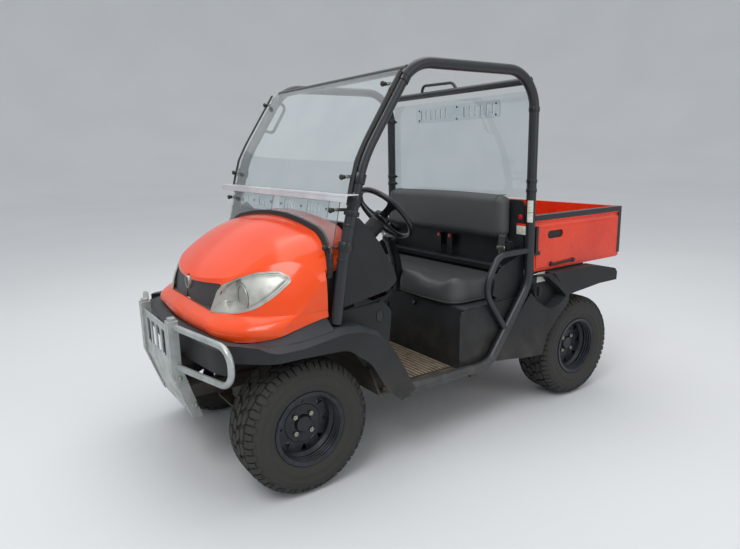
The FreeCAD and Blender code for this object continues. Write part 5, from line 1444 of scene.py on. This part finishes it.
# Dark rings round the lens and the bezel, painted shade of the gaps there: radius and place along the vehicle
GAP_SHADE_RINGS = ((50.0, -1046), (58.4, -1046))
FACET_PITCH = 12.0
FACET_RADIUS = 6.6
REFLECTOR_RADIUS = 42


def round_lens(rows):
    """Profile of radii and places along the vehicle, turned about the lens's axis."""
    return spun([(LENS_X + r, y, LENS_Z) for r, y in rows], 72, (0, 1, 0), (LENS_X, 0, LENS_Z))


class VEHICLE_OT_lamps(bpy.types.Operator):
    """Lamp bowls with their flange and barrel, faceted reflectors, dark rings and a dark well painted as the
    shade in the lamps' gaps and inside, and the bare badge's rim
    """
    bl_idname = "vehicle.lamps"
    bl_label = "Lamps"

    def execute(self, context):
        bowl = joined([self.bowl(), round_lens(BARREL)])
        piece(pair(bowl), "lamp_bowls", "metallised_lamp_body", "chassis", "lamp_silver",
              ("headlights",), 35)
        facets = self.facets()
        # Painted shade: dark rings in the gaps round lens and bezel, and a dark well behind the reflector
        rings = [tube_ring((LENS_X, y, LENS_Z), r, 1.6, (0, 1, 0), 72) for r, y in GAP_SHADE_RINGS]
        gap_and_well_shade = joined([round_lens(SHADE_WELL), *rings])
        piece(pair(gap_and_well_shade), "lamp_gap_and_well_shade", "moulded_black_nylon", "chassis", "seal_rubber")
        piece(pair(facets), "lamp_reflectors", "reflector_chrome", "chassis", "lamp_silver")
        self.badge()
        return {"FINISHED"}

    def bowl(self):
        """Flange flush with the nose, a scoop in front of the lens and a fairing behind it."""
        loop = flat_loop(LAMP_OUTLINE)
        edge = evened(loop, 300)
        insets = [*FLANGE_RINGS, *[(3, share) for share in BOWL_SHARES]]
        last = BOWL_SHARES[-1]
        insets += [(3, last + (1 - last) * i / 22) for i in range(1, 22)]

        def place(spot, ring, depth):
            across, z = spot
            skin_depth = sum(k * (across / 100) ** a * ((z - SKIN_Z) / 100) ** b for k, a, b in NOSE_SKIN)
            if ring < len(FLANGE_DEPTHS):
                into = skin_depth + FLANGE_DEPTHS[ring]
            else:
                inset = min((spot - other).length for other in edge)
                steepness = 1.3 + 3.0 * eased(across, -75, -25)
                scoop = min(skin_depth + 2 + steepness * max(0.0, inset - 6), BOWL_DEEPEST)
                fairing = skin_depth + 4 + 8 * hump(inset, 12, 6) - 2 * eased(inset, 3, 9)
                lens_plane = (LENS_FRONT - LAMP_CENTRE.y - LAMP_OUTWARD.y * across) / LAMP_INWARD.y + 10
                into = min(max(fairing, lens_plane), scoop)
            return LAMP_CENTRE + LAMP_OUTWARD * across + LAMP_INWARD * into + Vector((0, 0, z))
        return ringed(evened(loop, 180), (LAMP_MIDDLE, LAMP_MIDDLE), insets, place)

    def facets(self):
        """Domed facets of the reflector in a honeycomb, behind the clear lens."""
        back = box_mm("headlight_lenses")[1].y
        cells = []
        for row in range(-4, 5):
            for column in range(-5, 6):
                across = (column + 0.5 * (row % 2)) * FACET_PITCH
                up = row * FACET_PITCH * 0.866
                if math.hypot(across, up) < REFLECTOR_RADIUS:
                    deselect()
                    bpy.ops.mesh.primitive_ico_sphere_add(subdivisions=2, radius=FACET_RADIUS / 1000)
                    cell = bpy.context.object
                    cell.scale = (1, 0.55, 1)
                    cells.append(moved(settle(cell), (LENS_X + across, back + 5, LENS_Z + up)))
        return joined(cells)

    def badge(self):
        low, high = box_mm("grille_badge")
        radius = (high.z - low.z) / 2
        z = (low.z + high.z) / 2
        rim = tube_ring((0, low.y + 1, z), radius - 3, 3, (0, 1, 0), 40)
        face = bar((0, low.y - 0.8, z), (0, low.y + 3, z), radius - 5, 40, 0.6)
        piece([rim], "badge_rim", "metallised_lamp_body", "chassis", "lamp_silver")
        piece([face], "badge_face", "moulded_black_nylon", "chassis", "black_plastic")


UPRIGHT_X = 219                 # of the guard
# Round heads on the guard's plate: along the vehicle, height and flatness
PLATE_BOLTS = ((-1322, 715, 0.5), (-1322, 560, 0.5), (-1302, 480, 0.6), (-1264, 350, 0.6))
PLATE_BOLT_X = 182
# Bolts on the guard's sides and screws on the kick panels: along the vehicle and height
SIDE_BOLTS = ((-1296, 515), (-1236, 375))
KICK_SCREWS = ((-607, 729),)
# Dark plate between hood and bumper, painted shade that closes the gap: across, its front and its back
NOSE_GAP_SHADE = (
    (-480, -1212, -1105), (-400, -1222, -1148), (-300, -1233, -1160), (-150, -1249, -1172), (0, -1256, -1178),
    (150, -1249, -1172), (300, -1233, -1160), (400, -1222, -1148), (480, -1212, -1105))
NOSE_GAP_SHADE_LOW = 698
NOSE_GAP_SHADE_HIGH = 701
HEADBOARD_FACE = 486.2
# Dark sheet under the bed's side, up to the bed, painted shade of the gap above the fender: along the vehicle
# and height
FENDER_GAP_SHADE = ((545, 780), (635, 786.5), (900, 786.5), (990, 784))
FENDER_GAP_SHADE_X = (606, 611)


def wrapped_label(low, high):
    """Label bent round the rear post on its front outer side, between two heights."""
    rings = []
    for i in range(-5, 6):
        a = math.radians(-56 + 7 * i)
        inner, outer = [(POST_X + r * math.cos(a), REAR_POST_Y + r * math.sin(a)) for r in (25.5, 26.1)]
        rings.append([(*inner, low), (*inner, high), (*outer, high), (*outer, low)])
    return loft(rings)


class VEHICLE_OT_trim(bpy.types.Operator):
    """Guard caps and bolts, screws, a dark plate painted as the shade in the nose's gap, bare labels,
    reflectors, and dark sheets painted as the shade behind the slots and under the bed's sides
    """
    bl_idname = "vehicle.trim"
    bl_label = "Trim"

    def execute(self, context):
        self.guard()
        self.shade_nose_gap()
        self.labels()
        self.bed_fittings()
        return {"FINISHED"}

    def guard(self):
        """Caps on the guard's uprights, and the bolt heads of guard and kick panels."""
        caps = []
        bolts = []
        for side in (-1, 1):
            x = side * UPRIGHT_X
            caps.append(slab((x - 23.5, -1328, 764), (x + 23.5, -1282.5, 771), 1.5))
            caps.append(slab((x - 16, -1321, 770), (x + 16, -1290, 785), 3))
            inward = (-side, 0, 0)
            bolts += [ball((side * PLATE_BOLT_X, y, z), 8, (1, flat, 1)) for y, z, flat in PLATE_BOLTS]
            bolts += [head_on("brush_guard", (side * 300, y, z), inward, 10, 6) for y, z in SIDE_BOLTS]
            bolts += [head_on("cowl_panels", (side * 900, y, z), inward, 6, 3.2) for y, z in KICK_SCREWS]
        piece(caps, "guard_caps", "silver_powder_coat", "chassis", "guard_silver")
        piece(bolts, "trim_bolts", "zinc_plate", "chassis", "axle_grey")

    def shade_nose_gap(self):
        # Painted shade: a dark plate closes the gap under the hood's lip
        rings = [[(x, front, NOSE_GAP_SHADE_LOW), (x, front, NOSE_GAP_SHADE_HIGH), (x, back, NOSE_GAP_SHADE_HIGH), (x, back, NOSE_GAP_SHADE_LOW)]
                 for x, front, back in NOSE_GAP_SHADE]
        piece([loft(rings)], "nose_gap_shade", "fender_polypropylene", "chassis", "black_plastic")

    def labels(self):
        """Round reflectors, and bare plates where the vehicle has labels."""
        reflectors = [bar((x, 484, 1099), (x, 487, 1099), 14, 32, 0.8) for x in (566, -566)]
        piece(reflectors, "round_reflectors", "signal_red_abs", "chassis", "black_plastic")
        panel_x = skin("quarter_panels", (900, 604, 762), (-1, 0, 0))[0].x
        front = HEADBOARD_FACE - 1
        labels = [slab((541, front, 1005), (606, HEADBOARD_FACE, 1052), 0.3),
                  wrapped_label(1127, 1190), wrapped_label(1075, 1124),
                  slab((panel_x - 0.6, 569, 734), (panel_x + 0.5, 639, 789), 0.3)]
        piece(labels, "bare_labels", "blank_label_vinyl", "chassis", "black_plastic")
        stripe = slab((541, front, 1052.5), (606, HEADBOARD_FACE, 1064), 0.3)
        piece([stripe], "label_stripe", "painted_steel_orange", "chassis", "bed_orange")

    def bed_fittings(self):
        """Dark sheets painted as the shade behind the slots and in the gap under the sides, and markers on
        the fenders.
        """
        low, high = box_mm("bed_sides")
        # Painted shade: dark sheets behind the bed's slots, so the slots look dark
        slot_shade_sheet = slab((high.x - 9.5, 630, 960), (high.x - 6.6, 786, 1026), 0.8)
        piece(pair(slot_shade_sheet), "slot_shade_sheets", "edge_rubber", "bed", "seal_rubber")
        # Painted shade: dark sheets fill the gap between the fenders and the bed's sides
        top = [(y, low.z - 1.4) for y in (FENDER_GAP_SHADE[-1][0], FENDER_GAP_SHADE[0][0])]
        gap_shade_sheet = upright_web([*FENDER_GAP_SHADE, *top], *FENDER_GAP_SHADE_X)
        piece(pair(gap_shade_sheet), "fender_gap_shade_sheets", "edge_rubber", "chassis", "seal_rubber")
        markers = []
        for x in (-655, 655):
            markers.append(slab((x - 24, 1220.4, 682), (x + 24, 1230, 712), 3))
        piece(markers, "rear_markers", "amber_lens", "chassis", "lamp_silver")


class VEHICLE_PT_panel(bpy.types.Panel):
    """The vehicle's colours, sizes and steps"""
    bl_idname = "VEHICLE_PT_panel"
    bl_label = "Vehicle"
    bl_space_type = "VIEW_3D"
    bl_region_type = "UI"
    bl_category = "Vehicle"

    def draw(self, context):
        for name in ("hood", "bed", "guard", "seat"):
            self.layout.prop(scene_colours(), name)
        for name in ("lens", "floor"):
            self.layout.prop(scene_sizes(), name)
        for step in STEPS:
            self.layout.operator(step.bl_idname)


STEPS = (
    VEHICLE_OT_stage, VEHICLE_OT_finishes, VEHICLE_OT_tyres, VEHICLE_OT_seats, VEHICLE_OT_belts,
    VEHICLE_OT_windshield, VEHICLE_OT_cab, VEHICLE_OT_lamps, VEHICLE_OT_trim)
CLASSES = (VehicleColours, VehicleSizes, *STEPS, VEHICLE_PT_panel)


def register():
    for item in CLASSES:
        bpy.utils.register_class(item)
    bpy.types.Scene.vehicle_colours = bpy.props.PointerProperty(type=VehicleColours)
    bpy.types.Scene.vehicle_sizes = bpy.props.PointerProperty(type=VehicleSizes)


def unregister():
    del bpy.types.Scene.vehicle_colours
    del bpy.types.Scene.vehicle_sizes
    for item in reversed(CLASSES):
        bpy.utils.unregister_class(item)


def main():
    register()
    for step in STEPS:
        group, name = step.bl_idname.split(".")
        getattr(getattr(bpy.ops, group), name)()


if __name__ == "__main__":
    main()
